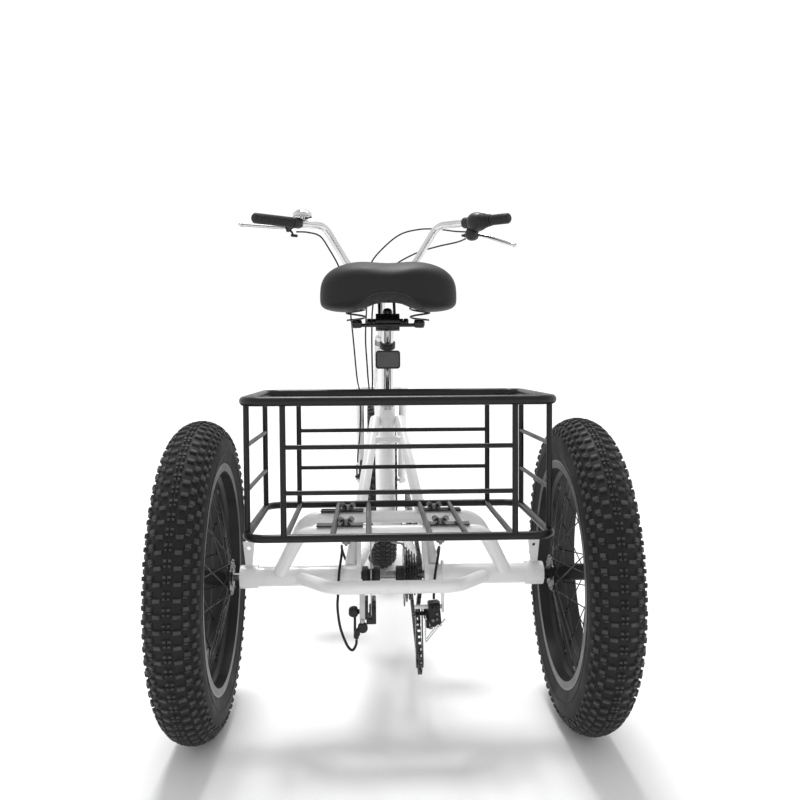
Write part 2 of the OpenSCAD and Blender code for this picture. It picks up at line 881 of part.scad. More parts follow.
module fork() {
    crown = on_head(crown_s);
    color("white") {
        rod(on_head(crown_s - 6), on_head(head_high + 12), steerer_r);
        rod(on_head(crown_s - 6), on_head(head_low - 12.2), 20);
        for (side = [-1, 1]) {
            rod(crown + [side * leg_x, -4, 12], [side * leg_x, front_y - 8, axle_z + 16], leg_r);
            side_plate(side * 66 - 4, 8)
                link_2d([front_y - 12, axle_z + 24], 11, [front_y, axle_z], 14);
        }
        rod(crown - [leg_x, 0, 0], crown + [leg_x, 0, 0], 12);
    }
    color("silver") {
        disc_x(-84, front_y, axle_z, 168, front_axle_r);
        for (x = [-80, 70])
            disc_x(x, front_y, axle_z, 10, 10);
    }
}

bar_r_out = 11.1;
bar_centre = [0, on_head(690)[1] + 42, 934];
bar_corner = [60, bar_centre[1], bar_centre[2]];
bar_shoulder = [172, 360, 1115];
bar_end = [360, 171, 1108];
grip_dir = unit(bar_end - bar_shoulder);
function on_grip(s) = bar_shoulder + s * grip_dir;
grip_r = 15;
grip_start = 128;
right_grip_start = 207;
grip_end = norm(bar_end - bar_shoulder);

module stem() {
    color("silver")
    difference() {
        union() {
            rod(on_head(head_high + 14), on_head(690), 11.1);
            rod(on_head(head_high + 14), on_head(head_high + 26), 19);
            rod(on_head(676), bar_centre, 13);
            rod(bar_centre - [24, 0, 0], bar_centre + [24, 0, 0], 19);
        }
        rod(bar_centre - [30, 0, 0], bar_centre + [30, 0, 0], bar_r_out + running);
    }
}

module handlebar() {
    color("silver")
    bent_tube([flip_x(bar_end), flip_x(bar_shoulder), flip_x(bar_corner), bar_corner,
               bar_shoulder, bar_end], 45, bar_r_out);
}

module grips() {
    color("black") {
        mirror([1, 0, 0])
            sleeve(grip_start, grip_end + 2, grip_r);
        sleeve(right_grip_start, grip_end + 2, grip_r);
    }
}

// A tube over the right-hand grip end of the bar, closed at its outer end
module sleeve(from, to, r) {
    difference() {
        rod(on_grip(from), on_grip(to), r);
        rod(on_grip(from - 5), on_grip(min(to, grip_end + 0.1)), bar_r_out + running);
    }
}

ahead = unit(cross([0, 0, 1], grip_dir));
mount_s = 106;           // brake lever clamps along the grip end of the bar
lever_pivot_l = flip_x(on_grip(mount_s + 10) + ahead * 34 + [0, 0, -12]);
lever_pivot_r = on_grip(mount_s + 6) + ahead * 30 + [0, 0, -28];
lever_tip_l = [-404, 215, 1096];
lever_tip_r = [392, 240, 1040];
pivot_axis_r = unit(cross(grip_dir, lever_tip_r - lever_pivot_r));

// Clamps round the bar that hold the brake levers, with the shifter's fixed pod on the right
module lever_mounts() {
    color("black") {
        difference() {
            union() {
                mirror([1, 0, 0])
                    rod(on_grip(mount_s - 2), on_grip(mount_s + 20), 16);
                rod(flip_x(on_grip(mount_s + 9)), lever_pivot_l + [0, 0, 12], 8);
                translate(lever_pivot_l - [0, 0, 9])
                    cylinder(h = 21, r = 9);
            }
            mirror([1, 0, 0])
                rod(on_grip(mount_s - 30), on_grip(mount_s + 60), bar_r_out + running);
            translate(lever_pivot_l - [0, 0, 4.7])
                cylinder(h = 9.4, r = 12);
        }
        difference() {
            union() {
                rod(on_grip(mount_s), on_grip(mount_s + 32), 17);
                rod(on_grip(mount_s + 16), on_grip(mount_s + 16) + [0, 0, 27], 15);
                rod(on_grip(mount_s + 17), on_grip(mount_s + 17) + [-4, -2, -46], 13);
                rod(on_grip(mount_s + 5), lever_pivot_r + pivot_axis_r * 12, 7);
                rod(lever_pivot_r - pivot_axis_r * 9, lever_pivot_r + pivot_axis_r * 12, 9);
            }
            rod(on_grip(mount_s - 30), on_grip(mount_s + 60), bar_r_out + running);
            rod(lever_pivot_r - pivot_axis_r * 4.7, lever_pivot_r + pivot_axis_r * 4.7, 12);
        }
        for (p = [[lever_pivot_l, [0, 0, 1]], [lever_pivot_r, pivot_axis_r]])
            rod(p[0] - p[1] * 8, p[0] + p[1] * 8, 3);
    }
}

// A brake lever: a flat eye on the pivot and a slim blade out to a ball end
module lever_shape(pivot, axis, tip) {
    d = unit(tip - pivot);
    color("silver")
    difference() {
        union() {
            rod(pivot - axis * 3.5, pivot + axis * 3.5, 8);
            rod(pivot + d * 2, pivot + d * 20, 4.2);
            rod(pivot + d * 17, tip, 5.4);
            translate(tip)
                sphere(r = 6.5);
        }
        rod(pivot - axis * 12, pivot + axis * 12, 3 + running);
    }
}
module left_brake_lever() { lever_shape(lever_pivot_l, [0, 0, 1], lever_tip_l); }
module right_brake_lever() { lever_shape(lever_pivot_r, pivot_axis_r, lever_tip_r); }

module twist_shifter() {
    color("black")
    difference() {
        union() {
            rod(on_grip(mount_s + 33), on_grip(mount_s + 60), 20);
            rod(on_grip(mount_s + 50), on_grip(right_grip_start - 1), 17.5);
        }
        rod(on_grip(mount_s), on_grip(grip_end), bar_r_out + running);
    }
}

bell_at = flip_x(on_grip(88));
bell_base_z = bell_at[2] + 17;
striker_pivot = [bell_at[0] + 13, bell_at[1] - 13, bell_base_z];

module bell() {
    color("silver") {
        difference() {
            union() {
                mirror([1, 0, 0])
                    rod(on_grip(80), on_grip(96), 14);
                translate([bell_at[0], bell_at[1], bell_at[2]])
                    cylinder(h = 18, r = 8);
                translate([bell_at[0], bell_at[1], bell_base_z])
                    cylinder(h = 3, r = 24);
                translate([bell_at[0], bell_at[1], bell_base_z])
                    cylinder(h = 22, r = 3);
                translate(striker_pivot - [0, 0, 8])
                    cylinder(h = 8.5, r = 1.95);
            }
            mirror([1, 0, 0])
                rod(on_grip(60), on_grip(110), bar_r_out + running);
        }
        translate([bell_at[0], bell_at[1], bell_base_z + 4])
            rotate_extrude()
                difference() {
                    intersection() {
                        translate([0, -14])
                            circle(36);
                        square([28, 30]);
                    }
                    intersection() {
                        translate([0, -15.5])
                            circle(35);
                        translate([0, -1])
                            square([26.5, 30]);
                    }
                }
    }
}

module bell_striker() {
    color("black")
    difference() {
        union() {
            translate(striker_pivot + [0, 0, -6])
                cylinder(h = 5, r = 5);
            rod(striker_pivot + [0, 0, -3.5], striker_pivot + [16, -18, -3.5], 1.9);
        }
        translate(striker_pivot + [0, 0, -10])
            cylinder(h = 14, r = 2);
    }
}

// ---- seat ----

post_top = on_seat(552);
clamp_mid = on_seat(545);

module seat_post() {
    color("silver")
    difference() {
        rod(on_seat(seat_tube_len - 160), post_top, post_r);
        rod(on_seat(seat_tube_len - 162), on_seat(530), post_r - 2);
    }
}

spring_x = 68;
spring_y = on_seat(545)[1] - 44;
spring_foot = 790;
spring_head = 826;
rail_x = 17;
hinge_at = [0, -300, 842];   // where the rails hold the nose of the saddle

module saddle_frame() {
    foot = [spring_x, spring_y, spring_foot - 8];
    color("black")
    difference() {
        union() {
            rod(flip_x(foot), foot, 4);
            for (side = [-1, 1]) {
                rod([side * spring_x, spring_y, spring_foot - 14],
                    [side * spring_x, spring_y, spring_foot], 9);
                bent_tube([[side * rail_x, spring_y, spring_foot - 8],
                           [side * rail_x, clamp_mid[1] + 30, spring_foot - 2],
                           [side * rail_x, hinge_at[1], hinge_at[2]]], 20, 3.5);
            }
            rod([-26, hinge_at[1], hinge_at[2]], [26, hinge_at[1], hinge_at[2]], 4);
            rod(clamp_mid - [26, 0, 6], clamp_mid + [26, 0, -6], 19);
            rod(clamp_mid - [34, 0, 6], clamp_mid + [34, 0, -6], 8);
        }
        rod(on_seat(500), on_seat(552.2), post_r + running);
    }
}

// Coil springs between the rear rod and the saddle's base
coil_turns = 2.5;
module saddle_springs() {
    color("black")
    for (side = [-1, 1])
        swept([for (i = [0:45]) [side * (spring_x + 19 * cos(i * 20 * coil_turns * 8 / 18)),
                                 spring_y + 19 * sin(i * 20 * coil_turns * 8 / 18),
                                 spring_foot + 2.4 + (spring_head - spring_foot - 5) * i / 45]],
              2, 6);
}

saddle_rear = -532;
// Outline of the saddle: how far along, half width, crown height and underside height
saddle_plan = [[0, 0.30, 872, 842], [0.02, 0.60, 888, 822], [0.08, 0.88, 902, 810],
               [0.2, 1.0, 914, 806], [0.34, 0.97, 918, 808], [0.46, 0.76, 915, 820],
               [0.58, 0.50, 908, 836], [0.72, 0.32, 902, 846], [0.86, 0.25, 897, 850],
               [0.96, 0.19, 889, 853], [1, 0.06, 874, 864]];
ring_sides = 28;
function power(v, p) = sign(v) * pow(abs(v), p);
function saddle_ring(row) = let (
        w = row[1] * saddle_w / 2, waist = row[3] + 0.3 * (row[2] - row[3]))
    [for (k = [0:ring_sides - 1]) let (
            a = k * 360 / ring_sides, up = sin(a),
            x = w * power(cos(a), up > 0 ? 0.7 : 0.4),
            dip = exp(-x * x / 1600), lobe = row[1] > 0.7 ? 1 : row[1] > 0.4 ? 0.5 : 0)
        [x, saddle_rear + row[0] * saddle_l,
         waist + (up > 0 ? row[2] - waist : waist - row[3]) * power(up, up > 0 ? 0.7 : 0.5)
            - (up > 0 ? 5 : 22) * dip * lobe * up]];

module saddle() {
    last = len(saddle_plan) - 1;
    points = [for (row = saddle_plan) each saddle_ring(row)];
    skin = [for (i = [0:last - 1]) for (k = [0:ring_sides - 1]) let (
            a = i * ring_sides + k, b = i * ring_sides + (k + 1) % ring_sides)
        each [[a, b, a + ring_sides], [b, b + ring_sides, a + ring_sides]]];
    first_mid = len(points);
    caps = [for (k = [0:ring_sides - 1])
        each [[first_mid, (k + 1) % ring_sides, k],
              [first_mid + 1, last * ring_sides + k, last * ring_sides + (k + 1) % ring_sides]]];
    mids = [for (i = [0, last]) [0, saddle_rear + saddle_plan[i][0] * saddle_l,
                                 (saddle_plan[i][2] + saddle_plan[i][3]) / 2]];
    color("black")
    difference() {
        polyhedron(concat(points, mids), concat(skin, caps), convexity = 4);
        translate([-32, hinge_at[1] - 26, 780])
            cube([64, 52, hinge_at[2] - 780 + 8]);
        for (side = [-1, 1])
            translate([side * spring_x, spring_y, 780])
                cylinder(h = 48, r = 24);
    }
}

module reflector() {
    at = on_seat(478);
    color("dimgray")
    difference() {
        union() {
            rod(on_seat(478), on_seat(492), post_r + 4);
            translate([-6, at[1] - 32, at[2] - 16])
                cube([12, 18, 22]);
            translate([-27, at[1] - 38, at[2] - 46])
                cube([54, 8, 40]);
        }
        rod(on_seat(440), on_seat(520), post_r + running);
    }
}

// ---- cables: routes are lists of points, from the bar to the brake or gear ----

cable_r = 2.5;
rear_brake_route = [
    [254, 322, 1092], [225, 365, 1100], [174, 432, 1117], [120, 490, 1124], [62, 515, 1111],
    [6, 535, 1068], [-31, 535, 1020], [-42, 515, 950], [-46, 488, 873], [-50, 458, 777],
    [-46, 428, 700], [-42, 402, 640], [-34, 350, 580], [-20, 290, 542], [-18, 111, 435],
    [-18, -89, 317], [-18, -140, 266], [-24, -200, 266], [-42, -300, 280], [-62, -440, 282],
    [-76, -530, 290], [-90, -575, 310], [-97, -602, 338], [-97, -625, 350], [-96, -648, 342],
    [-100, -668, 315], [-102, -674, 292], [-103, -677, 268], [-104, -680, 245],
    [-99, -682, 208], [-87, -684, 176], [-77, -685, 166], [-70, -686, 176], [-69, -686, 186]];
shift_route = [
    [249, 286, 1066], [228, 330, 1062], [172, 405, 1058], [108, 475, 1045], [35, 508, 1005],
    [-12, 508, 940], [-27, 470, 870], [-30, 444, 785], [-30, 420, 712], [-29, 396, 655],
    [-29, 372, 600], [-14, 330, 556], [4, 280, 524], [8, 114, 430], [8, -86, 311],
    [10, -145, 261], [20, -200, 262], [34, -300, 280], [50, -440, 278], [73, -532, 280],
    [87, -580, 312], [92, -612, 342], [89, -645, 340], [80, -672, 305], [78, -668, 276],
    [78, -660, 254]];
front_brake_route = [
    [-254, 322, 1092], [-222, 346, 1094], [-186, 372, 1086], [-160, 388, 1050], [-134, 402, 1004],
    [-112, 420, 950], [-102, 434, 900], [-95, 438, 840], [-88, 436, 768],
    [-78, 440, 653], [-70, 448, 606], [-68, 480, 530],
    [-72, 512, 455], [-78, 530, 400], [-79, 534, 372]];

module rear_brake_cable() { color("black") swept(curve(rear_brake_route, 3), cable_r); }
module shift_cable() { color("black") swept(curve(shift_route, 3), cable_r); }
module front_brake_cable() { color("black") swept(curve(front_brake_route, 4), cable_r); }

main_frame();
rear_stays();
axle_housings();
rack_hoops();
rear_guard();
bearings();
seat_clamp();
basket_rim();
basket_floor();
basket_walls();
basket_brackets();
basket_bolts();
rear_caliper();
derailleur_hanger();
rear_brake_cable();
shift_cable();
chain();
drive_axle();
rear_rotor();
right_tyre();
right_rim();
right_spokes();
right_hub();
left_tyre();
left_rim();
left_spokes();
left_hub();
front_tyre();
front_rim();
front_spokes();
front_hub();
front_rotor();
fork();
stem();
handlebar();
grips();
lever_mounts();
bell();
front_caliper();
front_brake_cable();
twist_shifter();
left_brake_lever();
right_brake_lever();
bell_striker();
front_brake_arm();
rear_brake_arm();
seat_post();
saddle_frame();
saddle_springs();
saddle();
reflector();
chainring();
crank_arms();
left_pedal();
right_pedal();
freewheel();
derailleur_body();
derailleur_cage();
guide_pulley();
tension_pulley();
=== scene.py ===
import math

import bpy
from mathutils import Matrix, Vector


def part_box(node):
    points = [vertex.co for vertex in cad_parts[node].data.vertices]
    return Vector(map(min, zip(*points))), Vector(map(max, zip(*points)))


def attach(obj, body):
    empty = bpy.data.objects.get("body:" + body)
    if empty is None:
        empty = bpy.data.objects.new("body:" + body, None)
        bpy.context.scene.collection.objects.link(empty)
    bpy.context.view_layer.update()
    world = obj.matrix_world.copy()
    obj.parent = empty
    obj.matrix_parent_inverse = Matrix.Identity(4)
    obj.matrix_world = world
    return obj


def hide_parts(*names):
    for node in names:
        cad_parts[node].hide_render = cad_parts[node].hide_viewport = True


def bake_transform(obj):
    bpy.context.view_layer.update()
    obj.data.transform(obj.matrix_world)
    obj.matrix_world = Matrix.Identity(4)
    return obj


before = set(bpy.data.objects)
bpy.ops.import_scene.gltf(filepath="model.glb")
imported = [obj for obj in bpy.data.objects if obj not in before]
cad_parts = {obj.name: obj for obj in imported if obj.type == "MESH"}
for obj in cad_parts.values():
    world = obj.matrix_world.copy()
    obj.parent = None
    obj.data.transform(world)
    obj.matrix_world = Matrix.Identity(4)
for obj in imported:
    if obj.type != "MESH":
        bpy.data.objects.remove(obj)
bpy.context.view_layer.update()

scene = bpy.context.scene
scene.view_settings.view_transform = "Standard"

# ---- places taken from the frame, in metres ----


def middle(node):
    low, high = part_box(node)
    return (Vector(low) + Vector(high)) / 2


def size(node):
    low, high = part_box(node)
    return Vector(high) - Vector(low)


RIGHT_HUB = middle("right_tyre")
LEFT_HUB = middle("left_tyre")
FRONT_HUB = middle("front_tyre")
REAR_Y = RIGHT_HUB.y
FRONT_Y = FRONT_HUB.y
AXLE_Z = RIGHT_HUB.z
TYRE_R = size("right_tyre").z / 2
SECTION_R = size("right_tyre").x / 2
MM = 0.001
X, Y, Z = Vector((1, 0, 0)), Vector((0, 1, 0)), Vector((0, 0, 1))

SEAT_ANGLE = math.radians(66.8)
HEAD_ANGLE = math.radians(70)
CRANK = Vector((0, REAR_Y + 0.475, 0.295))
SEAT_DIR = Vector((0, -math.cos(SEAT_ANGLE), math.sin(SEAT_ANGLE)))
HEAD_DIR = Vector((0, -math.cos(HEAD_ANGLE), math.sin(HEAD_ANGLE)))
HEAD_FOOT = Vector((0, FRONT_Y - 0.045 * math.sin(HEAD_ANGLE), AXLE_Z - 0.045 * math.cos(HEAD_ANGLE)))


def on_seat(s):
    return CRANK + SEAT_DIR * s


def on_head(s):
    return HEAD_FOOT + HEAD_DIR * s


BAR_SHOULDER = Vector((0.172, 0.360, 1.115))
BAR_END = Vector((0.360, 0.171, 1.108))
GRIP_DIR = (BAR_END - BAR_SHOULDER).normalized()
GRIP_END = (BAR_END - BAR_SHOULDER).length


def on_grip(s, side=1):
    """A point along the straight end of the bar; side -1 is the rider's left."""
    p = BAR_SHOULDER + GRIP_DIR * s
    return Vector((side * p.x, p.y, p.z))


# ---- materials ----


def new_material(name, base, rough, metallic=0.0):
    mat = bpy.data.materials.new(name)
    mat.use_nodes = True
    shader = mat.node_tree.nodes["Principled BSDF"]
    shader.inputs["Base Color"].default_value = (*base, 1)
    shader.inputs["Roughness"].default_value = rough
    shader.inputs["Metallic"].default_value = metallic
    return mat


def link(mat, out_node, out_name, in_node, in_name):
    mat.node_tree.links.new(out_node.outputs[out_name], in_node.inputs[in_name])


def noise(mat, scale, detail=3.0):
    """Noise in the object's own space, finer with a bigger scale (per metre)."""
    nodes = mat.node_tree.nodes
    place = nodes.new("ShaderNodeTexCoord")
    tex = nodes.new("ShaderNodeTexNoise")
    tex.inputs["Scale"].default_value = scale
    tex.inputs["Detail"].default_value = detail
    link(mat, place, "Object", tex, "Vector")
    return tex


def ramp(mat, source, out_name, low, high, start=0.3, end=0.7):
    node = mat.node_tree.nodes.new("ShaderNodeValToRGB")
    node.color_ramp.elements[0].position = start
    node.color_ramp.elements[1].position = end
    node.color_ramp.elements[0].color = (*low, 1)
    node.color_ramp.elements[1].color = (*high, 1)
    link(mat, source, out_name, node, "Fac")
    return node


def vary(mat, scale, low, high, rough_low, rough_high, bump=0.0, bump_scale=None):
    """Gentle changes of colour and gloss over the surface, and a fine relief."""
    shader = mat.node_tree.nodes["Principled BSDF"]
    wide = noise(mat, scale)
    link(mat, ramp(mat, wide, "Fac", low, high), "Color", shader, "Base Color")
    gloss = ramp(mat, wide, "Fac", (rough_low,) * 3, (rough_high,) * 3)
    link(mat, gloss, "Color", shader, "Roughness")
    if bump:
        fine = noise(mat, bump_scale, 2.0)
        relief = mat.node_tree.nodes.new("ShaderNodeBump")
        relief.inputs["Strength"].default_value = bump
        relief.inputs["Distance"].default_value = 0.0004
        link(mat, fine, "Fac", relief, "Height")
        link(mat, relief, "Normal", shader, "Normal")
    return mat


def grey(v):
    return (v, v, v)


def dull(mat, level):
    """Turns down the surface reflection of dark materials."""
    mat.node_tree.nodes["Principled BSDF"].inputs["Specular IOR Level"].default_value = level
    return mat


def coat(mat, amount=0.6, rough=0.08):
    shader = mat.node_tree.nodes["Principled BSDF"]
    shader.inputs["Coat Weight"].default_value = amount
    shader.inputs["Coat Roughness"].default_value = rough
    return mat


white_paint = coat(vary(new_material("white paint", grey(0.83), 0.3), 9, grey(0.81), grey(0.85),
                        0.26, 0.34, 0.04, 900), 0.4)
black_paint = dull(coat(vary(new_material("black powder coat", grey(0.006), 0.36), 14, grey(0.004),
                             grey(0.008), 0.3, 0.42, 0.05, 1500), 0.06, 0.2), 0.28)
gloss_black = dull(coat(vary(new_material("gloss black", grey(0.009), 0.25), 14, grey(0.007),
                             grey(0.011), 0.2, 0.3), 0.15, 0.1), 0.4)
tyre_rubber = dull(vary(new_material("tyre rubber", grey(0.012), 0.66), 24, grey(0.009),
                        grey(0.016), 0.56, 0.74, 0.25, 1600), 0.22)
# the tread blocks' rubber is a lighter grey than the casing's: a painted highlight standing for the lit
# tops of the knobs
painted_highlight_tread = dull(vary(new_material("worn tread", grey(0.04), 0.6), 60, grey(0.024), grey(0.06),
                       0.5, 0.7, 0.3, 1200), 0.3)
rim_black = dull(vary(new_material("black rim", grey(0.011), 0.34), 20, grey(0.009), grey(0.013),
                      0.3, 0.4, 0.03, 900), 0.4)
rim_edge = vary(new_material("machined rim edge", grey(0.13), 0.34, 1.0), 40, grey(0.1),
                grey(0.16), 0.3, 0.42, 0.05, 2200)
spoke_black = vary(new_material("black spoke", grey(0.02), 0.3, 0.6), 60, grey(0.016),
                   grey(0.026), 0.26, 0.36)
hub_black = vary(new_material("black hub", grey(0.012), 0.32, 0.3), 30, grey(0.01), grey(0.016),
                 0.28, 0.38, 0.03, 1200)
bare_steel = vary(new_material("bare steel", grey(0.22), 0.26, 1.0), 50, grey(0.17), grey(0.27),
                  0.22, 0.34, 0.06, 1800)
zinc = vary(new_material("zinc plated steel", grey(0.2), 0.3, 1.0), 60, grey(0.15), grey(0.26),
            0.26, 0.4, 0.05, 1500)
rotor_steel = vary(new_material("rotor steel", grey(0.4), 0.3, 1.0), 30, grey(0.32), grey(0.46),
                   0.24, 0.38, 0.12, 2600)
alloy = vary(new_material("polished alloy", grey(0.62), 0.2, 1.0), 40, grey(0.56), grey(0.68),
             0.16, 0.26, 0.04, 1400)
chrome = vary(new_material("chrome", grey(0.62), 0.06, 1.0), 30, grey(0.58), grey(0.66),
              0.04, 0.09)
grip_rubber = dull(vary(new_material("grip rubber", grey(0.014), 0.6), 40, grey(0.011), grey(0.018),
                        0.52, 0.68, 0.2, 1800), 0.3)
black_plastic = dull(vary(new_material("black plastic", grey(0.011), 0.42), 40, grey(0.009),
                          grey(0.014), 0.36, 0.48, 0.1, 1600), 0.34)
caliper_black = dull(vary(new_material("black alloy", grey(0.013), 0.36, 0.1), 50, grey(0.01),
                          grey(0.017), 0.3, 0.42, 0.06, 1600), 0.4)
sheath = dull(vary(new_material("cable sheath", grey(0.01), 0.36), 60, grey(0.008), grey(0.013),
                   0.3, 0.42), 0.3)
chain_steel = vary(new_material("oiled chain steel", grey(0.08), 0.34, 1.0), 90, grey(0.04),
                   grey(0.15), 0.28, 0.45, 0.1, 1600)
cog_steel = vary(new_material("cog steel", grey(0.06), 0.32, 1.0), 70, grey(0.04), grey(0.1),
                 0.26, 0.42, 0.1, 1600)
lens = coat(vary(new_material("dark reflector lens", grey(0.05), 0.25), 20, grey(0.04),
                 grey(0.06), 0.2, 0.3), 0.5, 0.05)


def make_vinyl():
    """Smooth black vinyl with a fine pebbled grain."""
    mat = dull(vary(new_material("saddle vinyl", grey(0.013), 0.5), 11, grey(0.011), grey(0.016),
                    0.46, 0.56), 0.24)
    shader = mat.node_tree.nodes["Principled BSDF"]
    nodes = mat.node_tree.nodes
    place = nodes.new("ShaderNodeTexCoord")
    grain = nodes.new("ShaderNodeTexVoronoi")
    grain.inputs["Scale"].default_value = 700
    link(mat, place, "Object", grain, "Vector")
    relief = nodes.new("ShaderNodeBump")
    relief.inputs["Strength"].default_value = 0.16
    relief.inputs["Distance"].default_value = 0.0003
    link(mat, grain, "Distance", relief, "Height")
    link(mat, relief, "Normal", shader, "Normal")
    return mat


vinyl = make_vinyl()


def make_lens_pattern():
    """Moulded prisms across the reflector, as a raised grid."""
    nodes = lens.node_tree.nodes
    place = nodes.new("ShaderNodeTexCoord")
    grid = nodes.new("ShaderNodeTexVoronoi")
    grid.feature = "DISTANCE_TO_EDGE"
    grid.inputs["Scale"].default_value = 260
    grid.inputs["Randomness"].default_value = 0.0
    link(lens, place, "Object", grid, "Vector")
    relief = nodes.new("ShaderNodeBump")
    relief.inputs["Strength"].default_value = 0.5
    relief.inputs["Distance"].default_value = 0.0006
    link(lens, grid, "Distance", relief, "Height")
    link(lens, relief, "Normal", nodes["Principled BSDF"], "Normal")


make_lens_pattern()

LOOKS = {
    white_paint: "main_frame rear_stays axle_housings rack_hoops rear_guard fork "
                 "derailleur_hanger",
    black_paint: "basket_rim basket_floor basket_walls basket_brackets",
    bare_steel: "bearings drive_axle",
    rotor_steel: "rear_rotor front_rotor",
    zinc: "basket_bolts",
    alloy: "seat_clamp left_brake_lever right_brake_lever",
    chrome: "stem handlebar bell seat_post",
    caliper_black: "rear_caliper front_caliper derailleur_cage crank_arms "
                   "front_brake_arm rear_brake_arm",
    gloss_black: "saddle_frame saddle_springs",
    sheath: "rear_brake_cable shift_cable front_brake_cable",
    chain_steel: "chain",
    cog_steel: "chainring freewheel",
    hub_black: "right_hub left_hub front_hub",
    rim_black: "right_rim left_rim front_rim",
    spoke_black: "right_spokes left_spokes front_spokes",
    tyre_rubber: "right_tyre left_tyre front_tyre",
    grip_rubber: "grips",
    black_plastic: "lever_mounts twist_shifter bell_striker left_pedal right_pedal "
                   "derailleur_body guide_pulley tension_pulley reflector",
    vinyl: "saddle",
}
for look, names in LOOKS.items():
    for name in names.split():
        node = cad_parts[name]
        node.data.materials.clear()
        node.data.materials.append(look)

# ---- shapes: each is (points, faces) in the row frame ----


def join(shapes):
    points, faces = [], []
    for shape_points, shape_faces in shapes:
        start = len(points)
        points.extend(shape_points)
        faces.extend(tuple(i + start for i in face) for face in shape_faces)
    return points, faces


def piece(label, shapes, material, body, replaces=(), crease=40):
    """Makes one visual piece of the joined shapes and puts it on its body."""
    name = label.replace(" ", "_")
    points, faces = join(shapes)
    mesh = bpy.data.meshes.new(name)
    mesh.from_pydata([tuple(p) for p in points], [], faces)
    mesh.validate()
    mesh.update()
    mesh.shade_smooth()
    mesh.set_sharp_from_angle(angle=math.radians(crease))
    mesh.materials.append(material)
    obj = bpy.data.objects.new(name, mesh)
    scene.collection.objects.link(obj)
    if body:
        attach(obj, body)
    if replaces:
        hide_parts(*replaces)
    return obj


def curve_points(path, steps):
    """A smooth line through the path's points."""
    path = [Vector(p) for p in path]
    out = []
    for i in range(len(path) - 1):
        a, b = path[max(i - 1, 0)], path[i]
        c, d = path[i + 1], path[min(i + 2, len(path) - 1)]
        for j in range(steps):
            t = j / steps
            out.append(0.5 * (2 * b + (c - a) * t + (2 * a - 5 * b + 4 * c - d) * t * t
                              + (3 * b - a - 3 * c + d) * t ** 3))
    out.append(path[-1])
    return out


def tube(path, radius, sides=12):
    """A round tube along a line; radius is one number or one for each point."""
    path = [Vector(p) for p in path]
    last = len(path) - 1
    points, faces = [], []
    across = None
    for i, p in enumerate(path):
        along = (path[min(i + 1, last)] - path[max(i - 1, 0)]).normalized()
        if across is None:
            across = along.cross(Z if abs(along.z) < 0.9 else X).normalized()
        across = (across - along * across.dot(along)).normalized()
        other = along.cross(across)
        r = radius[i] if isinstance(radius, list) else radius
        for k in range(sides):
            a = 2 * math.pi * k / sides
            points.append(p + r * (math.cos(a) * across + math.sin(a) * other))
    for i in range(last):
        for k in range(sides):
            k2 = (k + 1) % sides
            faces.append((i * sides + k, i * sides + k2, (i + 1) * sides + k2, (i + 1) * sides + k))
    faces.append(tuple(range(sides))[::-1])
    faces.append(tuple(last * sides + k for k in range(sides)))
    return points, faces


def turned(origin, axis, outline, sides=32, caps=True):
    """Turns an outline of (distance along the axis, radius) about the axis."""
    axis = Vector(axis).normalized()
    side = axis.cross(Z if abs(axis.z) < 0.9 else Y).normalized()
    up = axis.cross(side)
    points, faces = [], []
    for along, r in outline:
        for k in range(sides):
            a = 2 * math.pi * k / sides
            points.append(Vector(origin) + axis * along + r * (math.cos(a) * side + math.sin(a) * up))
    for i in range(len(outline) - 1):
        for k in range(sides):
            k2 = (k + 1) % sides
            faces.append((i * sides + k, i * sides + k2, (i + 1) * sides + k2, (i + 1) * sides + k))
    if caps:
        last = (len(outline) - 1) * sides
        faces.append(tuple(range(sides))[::-1])
        faces.append(tuple(last + k for k in range(sides)))
    return points, faces


def block(centre, dims, turn=None, chamfer=0.0):
    """A box with its long edges cut back by the chamfer."""
    hx, hy, hz = (d / 2 for d in dims)
    c = chamfer
    rows = [(-hz, hx - c, hy - c), (-hz + c, hx, hy), (hz - c, hx, hy), (hz, hx - c, hy - c)]
    if not c:
        rows = [(-hz, hx, hy), (hz, hx, hy)]
    turn = turn or Matrix.Identity(3)
    points, faces = [], []
    for z, x, y in rows:
        for sx, sy in ((-1, -1), (1, -1), (1, 1), (-1, 1)):
            points.append(Vector(centre) + turn @ Vector((sx * x, sy * y, z)))
    for i in range(len(rows) - 1):
        for k in range(4):
            k2 = (k + 1) % 4
            faces.append((i * 4 + k, i * 4 + k2, i * 4 + 4 + k2, i * 4 + 4 + k))
    last = (len(rows) - 1) * 4
    faces.append((3, 2, 1, 0))
    faces.append((last, last + 1, last + 2, last + 3))
    return points, faces


def nut(at, axis, across, thick):
    """A hexagon nut with turned corners, its near face at the point."""
    r = across / math.sqrt(3)
    return turned(at, axis, [(0, r * 0.9), (thick * 0.12, r), (thick * 0.88, r), (thick, r * 0.9)],
                  6)


# ---- tyres ----

KNOB_H = 4.2 * MM
PITCHES = 74
CASING_R = SECTION_R - KNOB_H
RING_R = TYRE_R - SECTION_R          # from the axle to the middle of the tyre's section
BEAD_R = 0.2158
# One pitch of the tread: place round the wheel (share of a pitch), place across, length round
# the wheel, width across, in mm
TREAD = [
    (0.02, -3.6, 5.0, 5.6), (0.02, 3.6, 5.0, 5.6), (0.36, -3.2, 4.0, 4.4), (0.36, 3.2, 4.0, 4.4),
    (0.50, 15.5, 7.6, 12.5), (0.50, -15.5, 7.6, 12.5),
    (0.05, 29.5, 8.6, 9.5), (0.05, -29.5, 8.6, 9.5), (0.30, 27.5, 3.4, 7.0), (0.30, -27.5, 3.4, 7.0),
    (0.62, 42.5, 10.5, 9.0), (0.62, -42.5, 10.5, 9.0), (0.10, 50.5, 9.0, 6.6), (0.10, -50.5, 9.0, 6.6),
]


